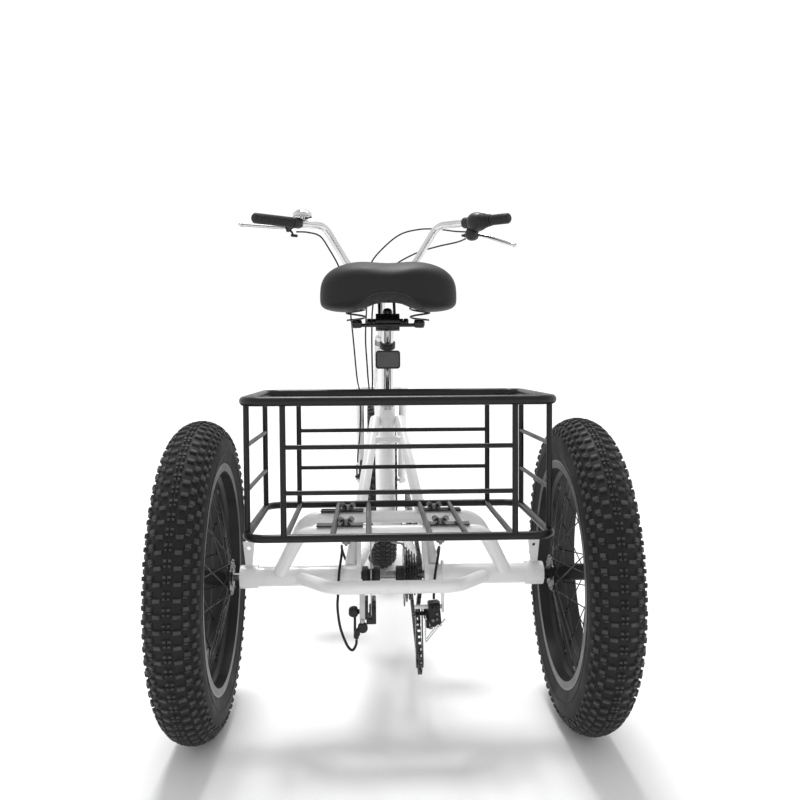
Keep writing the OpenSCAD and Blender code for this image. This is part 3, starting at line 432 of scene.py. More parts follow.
def on_tyre(centre, around, across, height):
    """A point on the casing: angle round the wheel, arc across in metres, height above it."""
    lean = across / CASING_R
    r = RING_R + (CASING_R + height) * math.cos(lean)
    x = (CASING_R + height) * math.sin(lean)
    return centre + Vector((x, r * math.cos(around), r * math.sin(around)))


def casing_shapes(centre):
    section = [(BEAD_R - 0.006, 0.031), (BEAD_R - 0.002, 0.0385), (BEAD_R + 0.003, 0.0408)]
    start = math.asin((section[-1][1] + 0.001) / CASING_R)
    lean_start = math.pi - start
    half = section + [(RING_R + CASING_R * math.cos(a), CASING_R * math.sin(a))
                      for a in (lean_start * (1 - k / 22) for k in range(1, 23))]
    outline = [(x, r) for r, x in half] + [(-x, r) for r, x in reversed(half[:-1])]
    shapes = [turned(centre, X, outline, 148, caps=False)]
    # fine raised lines on the sidewall, above the bead and below the shoulder knobs
    for side in (1, -1):
        for lean in (100, 128):
            a = math.radians(lean)
            ring = [(side * (CASING_R + h) * math.sin(a + w), RING_R + (CASING_R + h) * math.cos(a + w))
                    for h, w in ((-0.0006, -0.022), (0.0009, -0.009), (0.0009, 0.009),
                                 (-0.0006, 0.022))]
            shapes.append(turned(centre, X, ring, 96, caps=False))
    return shapes


def block_shapes(centre):
    """The tread blocks, each standing on the casing."""
    shapes = []
    step = 2 * math.pi / PITCHES
    for i in range(PITCHES):
        for round_at, across, length, width in TREAD:
            jog = 0.5 if (abs(across) > 35 and i % 2) else 0.0
            a0 = (i + round_at) * step
            out = across * MM + (1.6 * MM * (1 if across > 0 else -1) if jog else 0)
            half_l, half_w = length * MM / 2 / TYRE_R, width * MM / 2
            rows = ((-1.2 * MM, 1.0), (KNOB_H * 0.8, 0.9), (KNOB_H, 0.72))
            points = [on_tyre(centre, a0 + sl * half_l * grow, out + sw * half_w * grow, h)
                      for h, grow in rows for sl, sw in ((-1, -1), (1, -1), (1, 1), (-1, 1))]
            faces = [(k + 4 * n, (k + 1) % 4 + 4 * n, (k + 1) % 4 + 4 * n + 4, k + 4 * n + 4)
                     for n in (0, 1) for k in range(4)] + [(8, 9, 10, 11)]
            shapes.append((points, faces))
    return shapes


WHEELS = {"right": (RIGHT_HUB, "drive_axle"), "left": (LEFT_HUB, "left_wheel"),
          "front": (FRONT_HUB, "front_wheel")}
FLANGES = {"right": (-0.054, 0.026), "left": (0.054, -0.026), "front": (-0.029, 0.029)}
SPOKES = 36

for wheel, (centre, body) in WHEELS.items():
    piece(f"{wheel} knobby tyre", casing_shapes(centre), tyre_rubber, body,
          [f"{wheel}_tyre"], crease=34)
    # the blocks take the lighter grey rubber, a painted highlight on the knobs
    piece(f"{wheel} tread blocks", block_shapes(centre), painted_highlight_tread, body, crease=34)
    # machined edges of the rim
    edges = []
    for side in (1, -1):
        edges.append(turned(centre, X, [(side * 0.0372, 0.2128), (side * 0.0403, 0.2128),
                                        (side * 0.0408, 0.2142), (side * 0.0404, 0.2158),
                                        (side * 0.0376, 0.2160)], 96, caps=False))
    piece(f"{wheel} rim edges", edges, rim_edge, body)
    # nipples in the rim's well and spoke heads on the hub's flanges
    beads = []
    for i in range(SPOKES):
        lace = 1 if i % 4 < 2 else -1
        a = 2 * math.pi * i / SPOKES
        b = a + lace * math.radians(62)
        flange = FLANGES[wheel][0 if i % 2 == 0 else 1]
        turn_way = -1 if wheel == "left" else 1
        well_x = (-0.008 if i % 2 == 0 else 0.008) * turn_way + lace * 0.0012 * turn_way
        # the wheel shape is drawn about +Z and then laid along +X: its X goes down to -Z
        rim_point = centre + Vector((well_x, 0.196 * math.sin(a), -0.196 * math.cos(a)))
        head = centre + Vector((flange, 0.030 * math.sin(b), -0.030 * math.cos(b)))
        inward = (head - rim_point).normalized()
        beads.append(turned(rim_point - inward * 0.002, inward,
                            [(0, 0.0019), (0.001, 0.0021), (0.012, 0.0019), (0.013, 0.0014)], 8))
        out = lace * turn_way
        beads.append(turned(head + X * out * 0.0022, X * out,
                            [(0, 0.0023), (0.0012, 0.0021), (0.0018, 0.001)], 8))
    piece(f"{wheel} spoke nipples", beads, zinc, body)
    # the valve's stem, pointing to the axle
    valve_at = centre + Vector((0, 0, -0.197))
    piece(f"{wheel} valve", [turned(valve_at, Z, [(0, 0.0032), (0.014, 0.0032), (0.0145, 0.0041),
                                                  (0.026, 0.0041), (0.028, 0.0026)], 12)],
          black_plastic, body)

# ---- saddle, its springs and rivets ----


SADDLE_REAR = -0.532
SADDLE_HALF = 0.143
SADDLE_LONG = 0.268
SADDLE_PLAN = [
    (0.000, 0.30, 872, 842), (0.012, 0.52, 884, 828), (0.045, 0.75, 896, 815),
    (0.08, 0.88, 902, 810), (0.14, 0.965, 909, 807), (0.20, 1.0, 914, 806), (0.27, 0.995, 917, 806),
    (0.34, 0.97, 918, 808), (0.42, 0.86, 917, 813), (0.50, 0.68, 913, 830), (0.58, 0.50, 908, 838),
    (0.66, 0.385, 904, 842), (0.76, 0.30, 900, 847), (0.86, 0.25, 897, 850),
    (0.93, 0.21, 892, 852), (0.975, 0.15, 885, 856), (1.0, 0.06, 874, 864),
]
RING = 56


def signed_power(v, p):
    return math.copysign(abs(v) ** p, v)


def saddle_shape():
    points, faces = [], []
    for along, wide, top, under in SADDLE_PLAN:
        half, waist = wide * SADDLE_HALF, (under + 0.3 * (top - under)) * MM
        lobe = 1.0 if wide > 0.7 else 0.6 if wide > 0.4 else 0.0
        for k in range(RING):
            a = 2 * math.pi * k / RING
            up = math.sin(a)
            x = half * signed_power(math.cos(a), 0.7 if up > 0 else 0.4)
            dip = math.exp(-x * x / 0.0016) if up > 0 else 1 / (1 + (x / 0.042) ** 6)
            high = (top * MM - waist) if up > 0 else (waist - under * MM)
            z = waist + high * signed_power(up, 0.7 if up > 0 else 0.5)
            z += (-0.007 if up > 0 else 0.034) * dip * lobe * abs(up)
            points.append(Vector((x, SADDLE_REAR + along * SADDLE_LONG, z)))
    count = len(SADDLE_PLAN)
    for i in range(count - 1):
        for k in range(RING):
            k2 = (k + 1) % RING
            faces.append((i * RING + k, i * RING + k2, (i + 1) * RING + k2, (i + 1) * RING + k))
    faces.append(tuple(range(RING))[::-1])
    faces.append(tuple((count - 1) * RING + k for k in range(RING)))
    return points, faces


saddle = piece("vinyl saddle", [saddle_shape()], vinyl, None, crease=180)
smoothing = saddle.modifiers.new("smooth", "SUBSURF")
smoothing.levels = smoothing.render_levels = 1
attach(saddle, "saddle_top")
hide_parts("saddle")

SPRING_X, SPRING_Y, SPRING_FOOT, SPRING_HEAD = 0.068, on_seat(0.545).y - 0.044, 0.790, 0.832


def coil(side):
    """A barrel coil with its ends wound flat."""
    turns, steps = 2.6, 84
    out = []
    for i in range(steps + 1):
        t = i / steps
        a = 2 * math.pi * turns * t
        r = 0.0185 + 0.0025 * math.sin(math.pi * t)
        rise = 0.5 - 0.5 * math.cos(math.pi * t)
        height = SPRING_FOOT + 0.0025 + (SPRING_HEAD - SPRING_FOOT) * (0.35 * rise + 0.65 * t)
        out.append(Vector((side * (SPRING_X + r * math.cos(a)), SPRING_Y + r * math.sin(a), height)))
    return out


springs = piece("saddle coil springs", [tube(coil(side), 0.0021, 10) for side in (1, -1)],
                gloss_black, None)
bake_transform(springs)
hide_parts("saddle_springs")
rivets = []
for side in (1, -1):
    for x, y, z in ((0.090, SPRING_Y + 0.012, 0.8135), (0.104, SPRING_Y + 0.004, 0.8135)):
        rivets.append(turned((side * x, y, z), -Z, [(0, 0.006), (0.0015, 0.0055), (0.003, 0.003)], 16))
piece("saddle rivets", rivets, zinc, "saddle_top")
# bolt through the saddle clamp, with its nuts
clamp = on_seat(0.545)
piece("saddle clamp bolt", [
    tube([clamp + Vector((-0.041, 0, -0.006)), clamp + Vector((0.041, 0, -0.006))], 0.004),
    turned(clamp + Vector((-0.046, 0, -0.006)), X, [(0, 0.006), (0.002, 0.0085), (0.009, 0.0085),
                                                    (0.011, 0.0065)], 20),
    turned(clamp + Vector((0.035, 0, -0.006)), X, [(0, 0.0065), (0.002, 0.0085), (0.009, 0.0085),
                                                   (0.011, 0.006)], 20),
    turned(clamp + Vector((0, 0, 0.012)), Z, [(0, 0.011), (0.006, 0.011), (0.011, 0.008),
                                              (0.013, 0.003)], 24)], gloss_black,
      "seat", crease=30)

piece("saddle spring nuts", [
    turned((side * 0.0555, SPRING_Y, 0.7850), X * side,
           [(0, 0.005), (0.0015, 0.0085), (0.014, 0.0098), (0.0185, 0.0092), (0.0215, 0.0070),
            (0.023, 0.004)], 24) for side in (1, -1)], gloss_black, "seat",
      crease=30)

# ---- cables ----

REAR_BRAKE = [
    (254, 322, 1092), (225, 365, 1100), (174, 432, 1117), (120, 490, 1124), (62, 515, 1111),
    (6, 535, 1068), (-31, 535, 1020), (-42, 515, 950), (-46, 488, 873), (-50, 458, 777),
    (-46, 428, 700), (-42, 402, 640), (-34, 350, 580), (-20, 290, 542), (-18, 111, 435),
    (-18, -89, 317), (-18, -140, 266), (-24, -200, 266), (-42, -300, 280), (-62, -440, 282),
    (-76, -530, 290), (-90, -575, 310), (-97, -602, 338), (-97, -625, 350), (-96, -648, 342),
    (-100, -668, 315), (-102, -674, 292), (-103, -677, 268), (-104, -680, 245),
    (-99, -682, 208), (-87, -684, 176), (-77, -685, 166), (-70, -686, 176), (-69, -686, 186)]
SHIFT = [
    (249, 286, 1066), (228, 330, 1062), (172, 405, 1058), (108, 475, 1045), (35, 508, 1005),
    (-12, 508, 940), (-27, 470, 870), (-30, 444, 785), (-30, 420, 712), (-29, 396, 655),
    (-29, 372, 600), (-14, 330, 556), (4, 280, 524), (8, 114, 430), (8, -86, 311),
    (10, -145, 261), (20, -200, 262), (34, -300, 280), (50, -440, 278), (73, -532, 280),
    (87, -580, 312), (92, -612, 342), (89, -645, 340), (80, -672, 305), (78, -668, 276),
    (78, -660, 254)]
FRONT_BRAKE = [
    (-254, 322, 1092), (-222, 346, 1094), (-186, 372, 1086), (-160, 388, 1050), (-134, 402, 1004),
    (-112, 420, 950), (-102, 434, 900), (-95, 438, 840), (-88, 436, 768),
    (-78, 440, 653), (-70, 448, 606), (-68, 480, 530),
    (-72, 512, 455), (-78, 530, 400), (-79, 534, 372)]
CABLE_R = 0.0025
for name, route, node in (("rear brake cable", REAR_BRAKE, "rear_brake_cable"),
                          ("gear cable", SHIFT, "shift_cable"),
                          ("front brake cable", FRONT_BRAKE, "front_brake_cable")):
    line = curve_points([Vector(p) * MM for p in route], 6)
    cable = piece(name, [tube(line, CABLE_R, 10)], sheath, None)
    if node == "front_brake_cable":
        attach(cable, "steering")
    else:
        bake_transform(cable)
    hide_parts(node)

# ---- chain ----

PITCH = 0.0127
CHAIN_X = 0.052


def pitch_radius(teeth):
    return PITCH / 2 / math.sin(math.pi / teeth)


GUIDE = (REAR_Y + 0.030, AXLE_Z - 0.085)
TENSION = (REAR_Y + 0.012, AXLE_Z - 0.172)
WRAPS = [((CRANK.y, CRANK.z), pitch_radius(44), -1), (TENSION, pitch_radius(11), -1),
         (GUIDE, pitch_radius(11), 1), ((REAR_Y, AXLE_Z), pitch_radius(14), -1)]


def tangent_heading(a, b):
    dy, dz = b[0][0] - a[0][0], b[0][1] - a[0][1]
    return math.atan2(dz, dy) - math.asin((b[2] * b[1] - a[2] * a[1]) / math.hypot(dy, dz))


def touch(c, h):
    return (c[0][0] + c[2] * c[1] * math.sin(h), c[0][1] - c[2] * c[1] * math.cos(h))


def chain_line():
    out = []
    for i, c in enumerate(WRAPS):
        before, after = WRAPS[i - 1], WRAPS[(i + 1) % 4]
        h_in, h_out = tangent_heading(before, c), tangent_heading(c, after)
        span = ((h_out - h_in) * c[2]) % (2 * math.pi) * c[2]
        steps = max(8, int(abs(span) * c[1] / 0.0015))
        out.extend(touch(c, h_in + span * k / steps) for k in range(steps + 1))
    return out + out[:1]


def even_points(line, count):
    """Points spaced evenly round a closed line."""
    lengths = [math.dist(a, b) for a, b in zip(line, line[1:])]
    total, out, i, passed = sum(lengths), [], 0, 0.0
    for k in range(count):
        want = total * k / count
        while passed + lengths[i] < want:
            passed += lengths[i]
            i += 1
        t = (want - passed) / lengths[i]
        out.append(tuple(a + (b - a) * t for a, b in zip(line[i], line[i + 1])))
    return out, total


RUN_FRONT = CRANK.y - 0.060          # the lower run leaves the chainring
RUN_BACK = GUIDE[0] + 0.030           # and reaches the pulleys
RUN_MIDDLE = (RUN_FRONT + RUN_BACK) / 2
PULLEY_TOP = GUIDE[1] + 0.014
COG_FOOT = AXLE_Z - 0.030


def chain_zone(y, z):
    """Which stretch of the chain a link is in; each stretch follows the parts it runs on."""
    if z > COG_FOOT or y > RUN_FRONT:
        return "drive"
    if y < RUN_BACK:
        return "rise" if z > PULLEY_TOP else "pulleys"
    return "front run" if y > RUN_MIDDLE else "back run"


def chain_shapes(zone):
    line = chain_line()
    total = sum(math.dist(a, b) for a, b in zip(line, line[1:]))
    pins, _ = even_points(line, 2 * round(total / PITCH / 2))
    shapes = []
    for n, (y, z) in enumerate(pins):
        y2, z2 = pins[(n + 1) % len(pins)]
        if chain_zone((y + y2) / 2, (z + z2) / 2) != zone:
            continue
        a, b = Vector((CHAIN_X, y, z)), Vector((CHAIN_X, y2, z2))
        along = (b - a).normalized()
        side = along.cross(X)
        shapes.append(turned(a - X * 0.0022, X, [(0, 0.0036), (0.0044, 0.0036)], 10))
        shapes.append(turned(a - X * 0.0036, X, [(0, 0.0016), (0.0072, 0.0016)], 8))
        outer = n % 2 == 0
        for way in (-1, 1):
            x_in = 0.0031 if outer else 0.0022
            x_out = x_in + 0.0008
            outline = []
            for end, sign in ((b, 1), (a, -1)):
                for k in range(7):
                    t = math.pi * (k / 6 - 0.5)
                    outline.append(end + 0.0041 * (sign * math.cos(t) * along
                                                   + sign * math.sin(t) * side))
            mid = (a + b) / 2
            outline = outline[:7] + [mid + side * 0.0031] + outline[7:] + [mid - side * 0.0031]
            count = len(outline)
            points = [p + X * way * x_in for p in outline] + [p + X * way * x_out for p in outline]
            faces = [tuple(range(count)), tuple(range(2 * count - 1, count - 1, -1))]
            faces += [(k, (k + 1) % count, (k + 1) % count + count, k + count) for k in range(count)]
            shapes.append((points, faces))
    return shapes


def chain_piece(label, zone, body, replaces=()):
    return piece(label, chain_shapes(zone), chain_steel, body, replaces, crease=30)


chain_piece("roller chain", "drive", "frame", ["chain"])
chain_piece("chain on the pulleys", "pulleys", "cage")
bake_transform(chain_piece("chain below the cog", "rise", None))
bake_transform(chain_piece("chain lower run front", "front run", None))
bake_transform(chain_piece("chain lower run back", "back run", None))

# ---- grips, shifter and levers ----


def grip_ribs(side, start, end):
    """A rubber grip: a flanged inner end, fine ribs and a rounded outer end."""
    outline = [(start, 0.0148), (start + 0.0015, 0.0152)]
    s = start + 0.004
    while s < end - 0.014:
        outline += [(s, 0.0151), (s + 0.0008, 0.0143), (s + 0.0022, 0.0143), (s + 0.003, 0.0151)]
        s += 0.0052
    outline += [(end - 0.010, 0.0152), (end - 0.004, 0.0150), (end - 0.001, 0.0135),
                (end + 0.0018, 0.0105), (end + 0.002, 0.004)]
    axis = Vector((side * GRIP_DIR.x, GRIP_DIR.y, GRIP_DIR.z))
    return turned(on_grip(0, side), axis, outline, 36)


piece("ribbed grips", [grip_ribs(-1, 0.128, GRIP_END), grip_ribs(1, 0.207, GRIP_END)],
      grip_rubber, "steering", ["grips"], crease=35)

RIGHT_PIVOT = Vector((0.27223, 0.30178, 1.08406))
LEFT_PIVOT = Vector((-0.27788, 0.30177, 1.09995))
RIGHT_DIR = GRIP_DIR
LEFT_DIR = Vector((-GRIP_DIR.x, GRIP_DIR.y, GRIP_DIR.z))


def lever_clamp(side, start, end, pivot):
    """The band round the bar, the arm out to the lever's pivot and the pivot's two cheeks."""
    axis = RIGHT_DIR if side > 0 else LEFT_DIR
    long = end - start
    hinge = Vector((side * 0.484, 0.454, 0.748)).normalized()
    bar = on_grip((start + end) / 2, side)
    return [
        turned(on_grip(start, side), axis, [(0, 0.0125), (0, 0.0150), (0.002, 0.0162),
                                            (long - 0.002, 0.0162), (long, 0.0150), (long, 0.0125)],
               32),
        tube([bar, (bar * 2 + pivot) / 3, (bar + pivot * 2) / 3, pivot], [0.011, 0.0105, 0.010, 0.0085],
             20),
        turned(pivot - hinge * 0.0095, hinge, [(0, 0.0075), (0.0012, 0.0088), (0.0040, 0.0088)], 24),
        turned(pivot + hinge * 0.0055, hinge, [(0, 0.0088), (0.0028, 0.0088), (0.0040, 0.0075)], 24),
    ]


POD_AT = on_grip(0.116) + Vector((0.002, 0.002, -0.034))
piece("lever and shifter housings", [
    *lever_clamp(1, 0.104, 0.132, RIGHT_PIVOT), *lever_clamp(-1, 0.100, 0.127, LEFT_PIVOT),
    # the shifter's round body and the rounded pod its cable leaves
    turned(on_grip(0.126) + Vector((0, 0, -0.001)), RIGHT_DIR, [
        (0, 0.0150), (0.001, 0.0175), (0.004, 0.0215), (0.009, 0.0252), (0.016, 0.0278),
        (0.024, 0.0288), (0.032, 0.0280), (0.040, 0.0258), (0.046, 0.0236), (0.048, 0.0215)], 40),
    turned(POD_AT, RIGHT_DIR, [(-0.002, 0.008), (0, 0.0135), (0.004, 0.0175), (0.012, 0.0198),
                               (0.022, 0.0196), (0.028, 0.0176), (0.031, 0.0130),
                               (0.0325, 0.006)], 32),
    turned(on_grip(0.120) + Vector((-0.002, 0.012, -0.036)), Vector((-0.70, 0.65, 0.10)),
           [(0, 0.0062), (0.010, 0.0056), (0.012, 0.0042), (0.019, 0.0038)], 20),
    # parking catch under the left lever
    turned(LEFT_PIVOT + Vector((0.030, -0.006, -0.024)), Vector((-1, 0, 0.1)),
           [(0, 0.002), (0.002, 0.0045), (0.018, 0.0045), (0.021, 0.002)], 16),
    tube([LEFT_PIVOT, LEFT_PIVOT + Vector((0.012, -0.004, -0.012)),
          LEFT_PIVOT + Vector((0.018, -0.006, -0.024))], 0.0032, 12),
], black_plastic, "steering", ["lever_mounts"], crease=35)


def lever_blade(pivot, tip, body, label, node):
    """A brake lever: a flat blade that widens to the middle and ends in a ball."""
    along = (tip - pivot).normalized()
    face = along.cross(Vector((0.484 * math.copysign(1, pivot.x), 0.454, 0.748))).normalized()
    edge = along.cross(face).normalized()
    long = (tip - pivot).length
    points, faces, sides = [], [], 20
    rows = ((0.0, 0.0045, 0.0070), (0.10, 0.0040, 0.0065), (0.25, 0.0040, 0.0062),
            (0.40, 0.0040, 0.0080), (0.60, 0.0038, 0.0092), (0.80, 0.0036, 0.0084),
            (0.92, 0.0038, 0.0064), (0.965, 0.0050, 0.0056), (0.985, 0.0068, 0.0068),
            (1.01, 0.0072, 0.0072), (1.035, 0.0060, 0.0060), (1.05, 0.0030, 0.0030))
    for share, thick, wide in rows:
        bow = face * (0.006 * math.sin(math.pi * min(share, 1.0)))
        for k in range(sides):
            a = 2 * math.pi * k / sides
            points.append(pivot + along * long * share * 0.96 + bow
                          + face * thick * math.cos(a) + edge * wide * math.sin(a))
    for i in range(len(rows) - 1):
        for k in range(sides):
            k2 = (k + 1) % sides
            faces.append((i * sides + k, (i + 1) * sides + k, (i + 1) * sides + k2, i * sides + k2))
    faces.append(tuple(range(sides)))
    faces.append(tuple((len(rows) - 1) * sides + k for k in range(sides))[::-1])
    piece(label, [(points, faces)], alloy, body, [node], crease=50)


low, high = (Vector(v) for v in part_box("right_brake_lever"))
lever_blade(RIGHT_PIVOT, Vector((high.x - 0.006, low.y + 0.006, low.z + 0.006)), "right_lever",
            "right brake lever blade", "right_brake_lever")


def twist_outline():
    """The ribbed cone that the hand turns, from the shifter's body down to the grip."""
    out = [(0.1745, 0.014), (0.1745, 0.0228)]
    count = 6
    for k in range(count):
        s = 0.175 + 0.0305 * k / count
        r = 0.0228 - 0.0066 * (k / count) ** 0.7
        out += [(s + 0.0004, r), (s + 0.0028, r - 0.0004), (s + 0.0034, r - 0.0016),
                (s + 0.0043, r - 0.0016)]
    return out + [(0.2058, 0.0158), (0.2062, 0.0135)]


piece("twist shifter", [turned(on_grip(0), RIGHT_DIR, twist_outline(), 40)], grip_rubber,
      "shifter_grip", ["twist_shifter"], crease=35)

# reflector on the seat post: a moulded case with a dark lens set in it
REFLECT = on_seat(0.478)


def rounded_plate(centre, width, height, corner, y_near, y_far):
    """A plate with round corners, standing across the row and seen from behind."""
    ring = []
    for cx, cz, start in ((1, 1, 0), (-1, 1, 90), (-1, -1, 180), (1, -1, 270)):
        for k in range(7):
            a = math.radians(start + 15 * k)
            ring.append((cx * (width / 2 - corner) + corner * math.cos(a),
                         cz * (height / 2 - corner) + corner * math.sin(a)))
    count = len(ring)
    points = [Vector((centre.x + x, y, centre.z + z)) for y in (y_near, y_far) for x, z in ring]
    faces = [tuple(range(count)), tuple(range(2 * count - 1, count - 1, -1))]
    faces += [(k, k + count, (k + 1) % count + count, (k + 1) % count) for k in range(count)]
    return points, faces


case_at = REFLECT + Vector((0, 0, -0.026))
piece("reflector case", [
    rounded_plate(case_at, 0.054, 0.040, 0.007, REFLECT.y - 0.037, REFLECT.y - 0.030),
    rounded_plate(REFLECT + Vector((0, 0, -0.006)), 0.012, 0.020, 0.003, REFLECT.y - 0.032,
                  REFLECT.y - 0.014),
    turned(on_seat(0.478), SEAT_DIR, [(0, 0.0140), (0, 0.0165), (0.001, 0.0175), (0.013, 0.0175),
                                      (0.014, 0.0165), (0.014, 0.0140)], 32),
], black_plastic, "seat", ["reflector"], crease=30)
piece("reflector lens", [rounded_plate(case_at, 0.047, 0.033, 0.0045, REFLECT.y - 0.0382,
                                       REFLECT.y - 0.036)], lens, "seat",
      crease=30)

# ---- drive shaft ----

piece("drive shaft", [
    turned((-0.396, REAR_Y, AXLE_Z), X, [(0, 0.0060), (0.0015, 0.0075), (0.7905, 0.0075),
                                         (0.792, 0.0060)], 28),
    nut((-0.4010, REAR_Y, AXLE_Z), X, 0.021, 0.009), nut((0.3920, REAR_Y, AXLE_Z), X, 0.021, 0.009),
], bare_steel, "drive_axle", ["drive_axle"], crease=30)
piece("rotor and cog carriers", [
    turned((a, REAR_Y, AXLE_Z), X, [(0, r - 0.0015), (0.0015, r), (b - a - 0.0015, r),
                                    (b - a, r - 0.0015)], 32)
    for a, b, r in ((-0.058, -0.046, 0.017), (-0.049, -0.033, 0.012), (-0.036, -0.024, 0.017),
                    (0.006, 0.056, 0.017))
], hub_black, "drive_axle", crease=30)

# ---- extra hardware seen on the frame ----

HOOP_Y = (REAR_Y - 0.074, REAR_Y + 0.076)
HOOP_Z, HOOP_R = 0.395, 0.0125
BRACKET_TOP = 0.410


def wing_nut(at):
    """A wing nut: a round boss and two thin wings that rise outward."""
    shapes = [turned(at, Z, [(0, 0.0065), (0.006, 0.0058), (0.008, 0.0045)], 16)]
    for side in (-1, 1):
        base = Vector(at) + X * side * 0.0085
        tilt = Matrix.Rotation(math.radians(side * 32), 3, "Y")
        shapes.append(turned(base + Vector((side * 0.0015, -0.0012, 0.007)), Y,
                             [(0, 0.0048), (0.0002, 0.0058), (0.0022, 0.0058), (0.0024, 0.0048)], 18))
        shapes.append(block(base + Vector((side * -0.0025, 0, 0.005)), (0.009, 0.0024, 0.006), tilt))
    return shapes


def basket_bolt_shapes():
    shapes = []
    for y in HOOP_Y:
        for side in (-1, 1):
            at = Vector((side * 0.086, y, 0))
            under = HOOP_Z - HOOP_R
            shapes.append(turned(at + Z * (under - 0.012), Z,
                                 [(0, 0.0024), (0.001, 0.003), (0.044, 0.003), (0.045, 0.0024)], 16))
            shapes.append(nut(at + Z * (under - 0.008), Z, 0.013, 0.006))
            shapes.append(turned(at + Z * (under - 0.002), Z, [(0, 0.0085), (0.0018, 0.0085)], 24))
            shapes.append(turned(at + Z * BRACKET_TOP, Z, [(0, 0.009), (0.0016, 0.009)], 24))
            shapes.extend(wing_nut(at + Z * (BRACKET_TOP + 0.0016)))
    return shapes


piece("basket bolts and wing nuts", basket_bolt_shapes(), zinc, "frame",
      ["basket_bolts"], crease=30)

# derailleur: a rounded body with its mounting knuckle, link plates, screws and cable clamp
PIN_Y, PIN_Z = REAR_Y - 0.004, AXLE_Z - 0.062


def derailleur_shapes():
    body = Vector((0.080, PIN_Y, PIN_Z - 0.013))
    lean = Matrix.Rotation(math.radians(-5), 3, "Y")
    shapes = [
        block(body, (0.022, 0.030, 0.046), lean, 0.003),
        turned((0.0685, PIN_Y, PIN_Z), X, [(0, 0.0085), (0.001, 0.0105), (0.021, 0.0105),
                                          (0.022, 0.0085)], 28),
        turned((0.062, GUIDE[0], GUIDE[1]), X, [(-0.0005, 0.009), (0.0005, 0.0105),
                                               (0.012, 0.0105), (0.013, 0.008)], 28),
        block((0.072, PIN_Y + 0.016, PIN_Z - 0.022), (0.010, 0.016, 0.022), None, 0.002),
        block((0.0665, PIN_Y - 0.010, PIN_Z - 0.030), (0.006, 0.010, 0.016), None, 0.0015),
        turned((0.078, PIN_Y - 0.0145, PIN_Z + 0.002), -Y, [(0, 0.0045), (0.006, 0.0045),
                                                          (0.008, 0.0036), (0.012, 0.0036)], 16),
        tube([(0.043, GUIDE[0], GUIDE[1]), (0.062, GUIDE[0], GUIDE[1])], 0.004, 16),
    ]
    return shapes


piece("derailleur body", derailleur_shapes(), black_plastic, "derailleur",
      ["derailleur_body"], crease=30)
piece("derailleur screws", [
    turned((0.076, PIN_Y - 0.0155, PIN_Z - 0.022), -Y, [(0, 0.0032), (0.002, 0.003),
                                                       (0.0026, 0.002)], 14),
    turned((0.084, PIN_Y - 0.0155, PIN_Z - 0.010), -Y, [(0, 0.0026), (0.0018, 0.0024),
                                                       (0.0024, 0.0014)], 14),
    turned((0.084, PIN_Y - 0.0155, PIN_Z - 0.020), -Y, [(0, 0.0026), (0.0018, 0.0024),
                                                       (0.0024, 0.0014)], 14),
    nut((0.072, PIN_Y - 0.012, PIN_Z - 0.0345), -Z, 0.007, 0.005)], zinc, "derailleur",
    crease=30)

# chrome wire that guards the derailleur
piece("derailleur guard wire", [tube(curve_points(
    [(0.0607, REAR_Y - 0.030, 0.226), (0.0602, REAR_Y - 0.042, 0.205),
     (0.0600, REAR_Y - 0.046, 0.184), (0.0625, REAR_Y - 0.046, 0.1825),
     (0.0740, REAR_Y - 0.046, 0.1965), (0.0850, REAR_Y - 0.046, 0.2100),
     (0.0970, REAR_Y - 0.042, 0.2230)], 6), 0.0013, 10), tube(curve_points(
         [(0.0620, REAR_Y - 0.046, 0.1870), (0.0720, REAR_Y - 0.046, 0.2000),
          (0.0815, REAR_Y - 0.046, 0.2115), (0.0850, REAR_Y - 0.046, 0.2120),
          (0.0850, REAR_Y - 0.046, 0.2100)], 6), 0.0013, 10)],
    chrome, "derailleur")

# rear caliper: two halves astride the rotor, a bridge, pad adjusters and mounting bolts
CALIPER = Vector((-0.041, REAR_Y - 0.015, AXLE_Z - 0.071))
CAL_Y = CALIPER.y
piece("rear caliper", [
    block((-0.0560, CAL_Y, 0.2390), (0.0140, 0.040, 0.036), None, 0.002),
    block((-0.0360, CAL_Y, 0.2390), (0.0082, 0.040, 0.036), None, 0.002),
    block((-0.0411, CAL_Y, 0.2180), (0.0184, 0.040, 0.012), None, 0.002),
    turned((-0.0450, CAL_Y - 0.0125, 0.2385), X, [(0, 0.0095), (0.0015, 0.0112), (0.0115, 0.0112),
                                                 (0.0130, 0.0092)], 28),
    turned((-0.0660, CAL_Y - 0.0125, 0.2352), -X, [(-0.004, 0.004), (0, 0.0050), (0.0015, 0.0092),
                                                  (0.006, 0.0108), (0.011, 0.0106),
                                                  (0.0155, 0.0085), (0.0175, 0.0055)], 28),
    block((-0.0485, CAL_Y - 0.0205, 0.2500), (0.0036, 0.003, 0.036), None, 0.0006),
    turned((-0.0571, CAL_Y - 0.0125, 0.2065), -Y, [(0, 0.0080), (0.001, 0.0095), (0.011, 0.0095),
                                                  (0.012, 0.0080)], 28),
    turned((-0.0662, CAL_Y - 0.0205, 0.2040), Vector((-0.0033, 0, -0.018)),
           [(0, 0.0046), (0.001, 0.0054), (0.011, 0.0054), (0.012, 0.0042), (0.018, 0.0040)], 20),
    tube([(-0.0600, CAL_Y - 0.0185, 0.2050), (-0.0662, CAL_Y - 0.0205, 0.2030)], 0.0042, 12),
], caliper_black, "frame", ["rear_caliper"], crease=30)
piece("rear caliper bracket bar", [
    block((-0.0578, CAL_Y - 0.0225, 0.2445), (0.0102, 0.003, 0.055), None, 0.0008),
    turned((-0.0578, CAL_Y - 0.0235, 0.2200), -Y, [(0, 0.0042), (0.002, 0.0042), (0.003, 0.003)],
           20),
], rotor_steel, "frame", crease=30)

# ---- stage ----

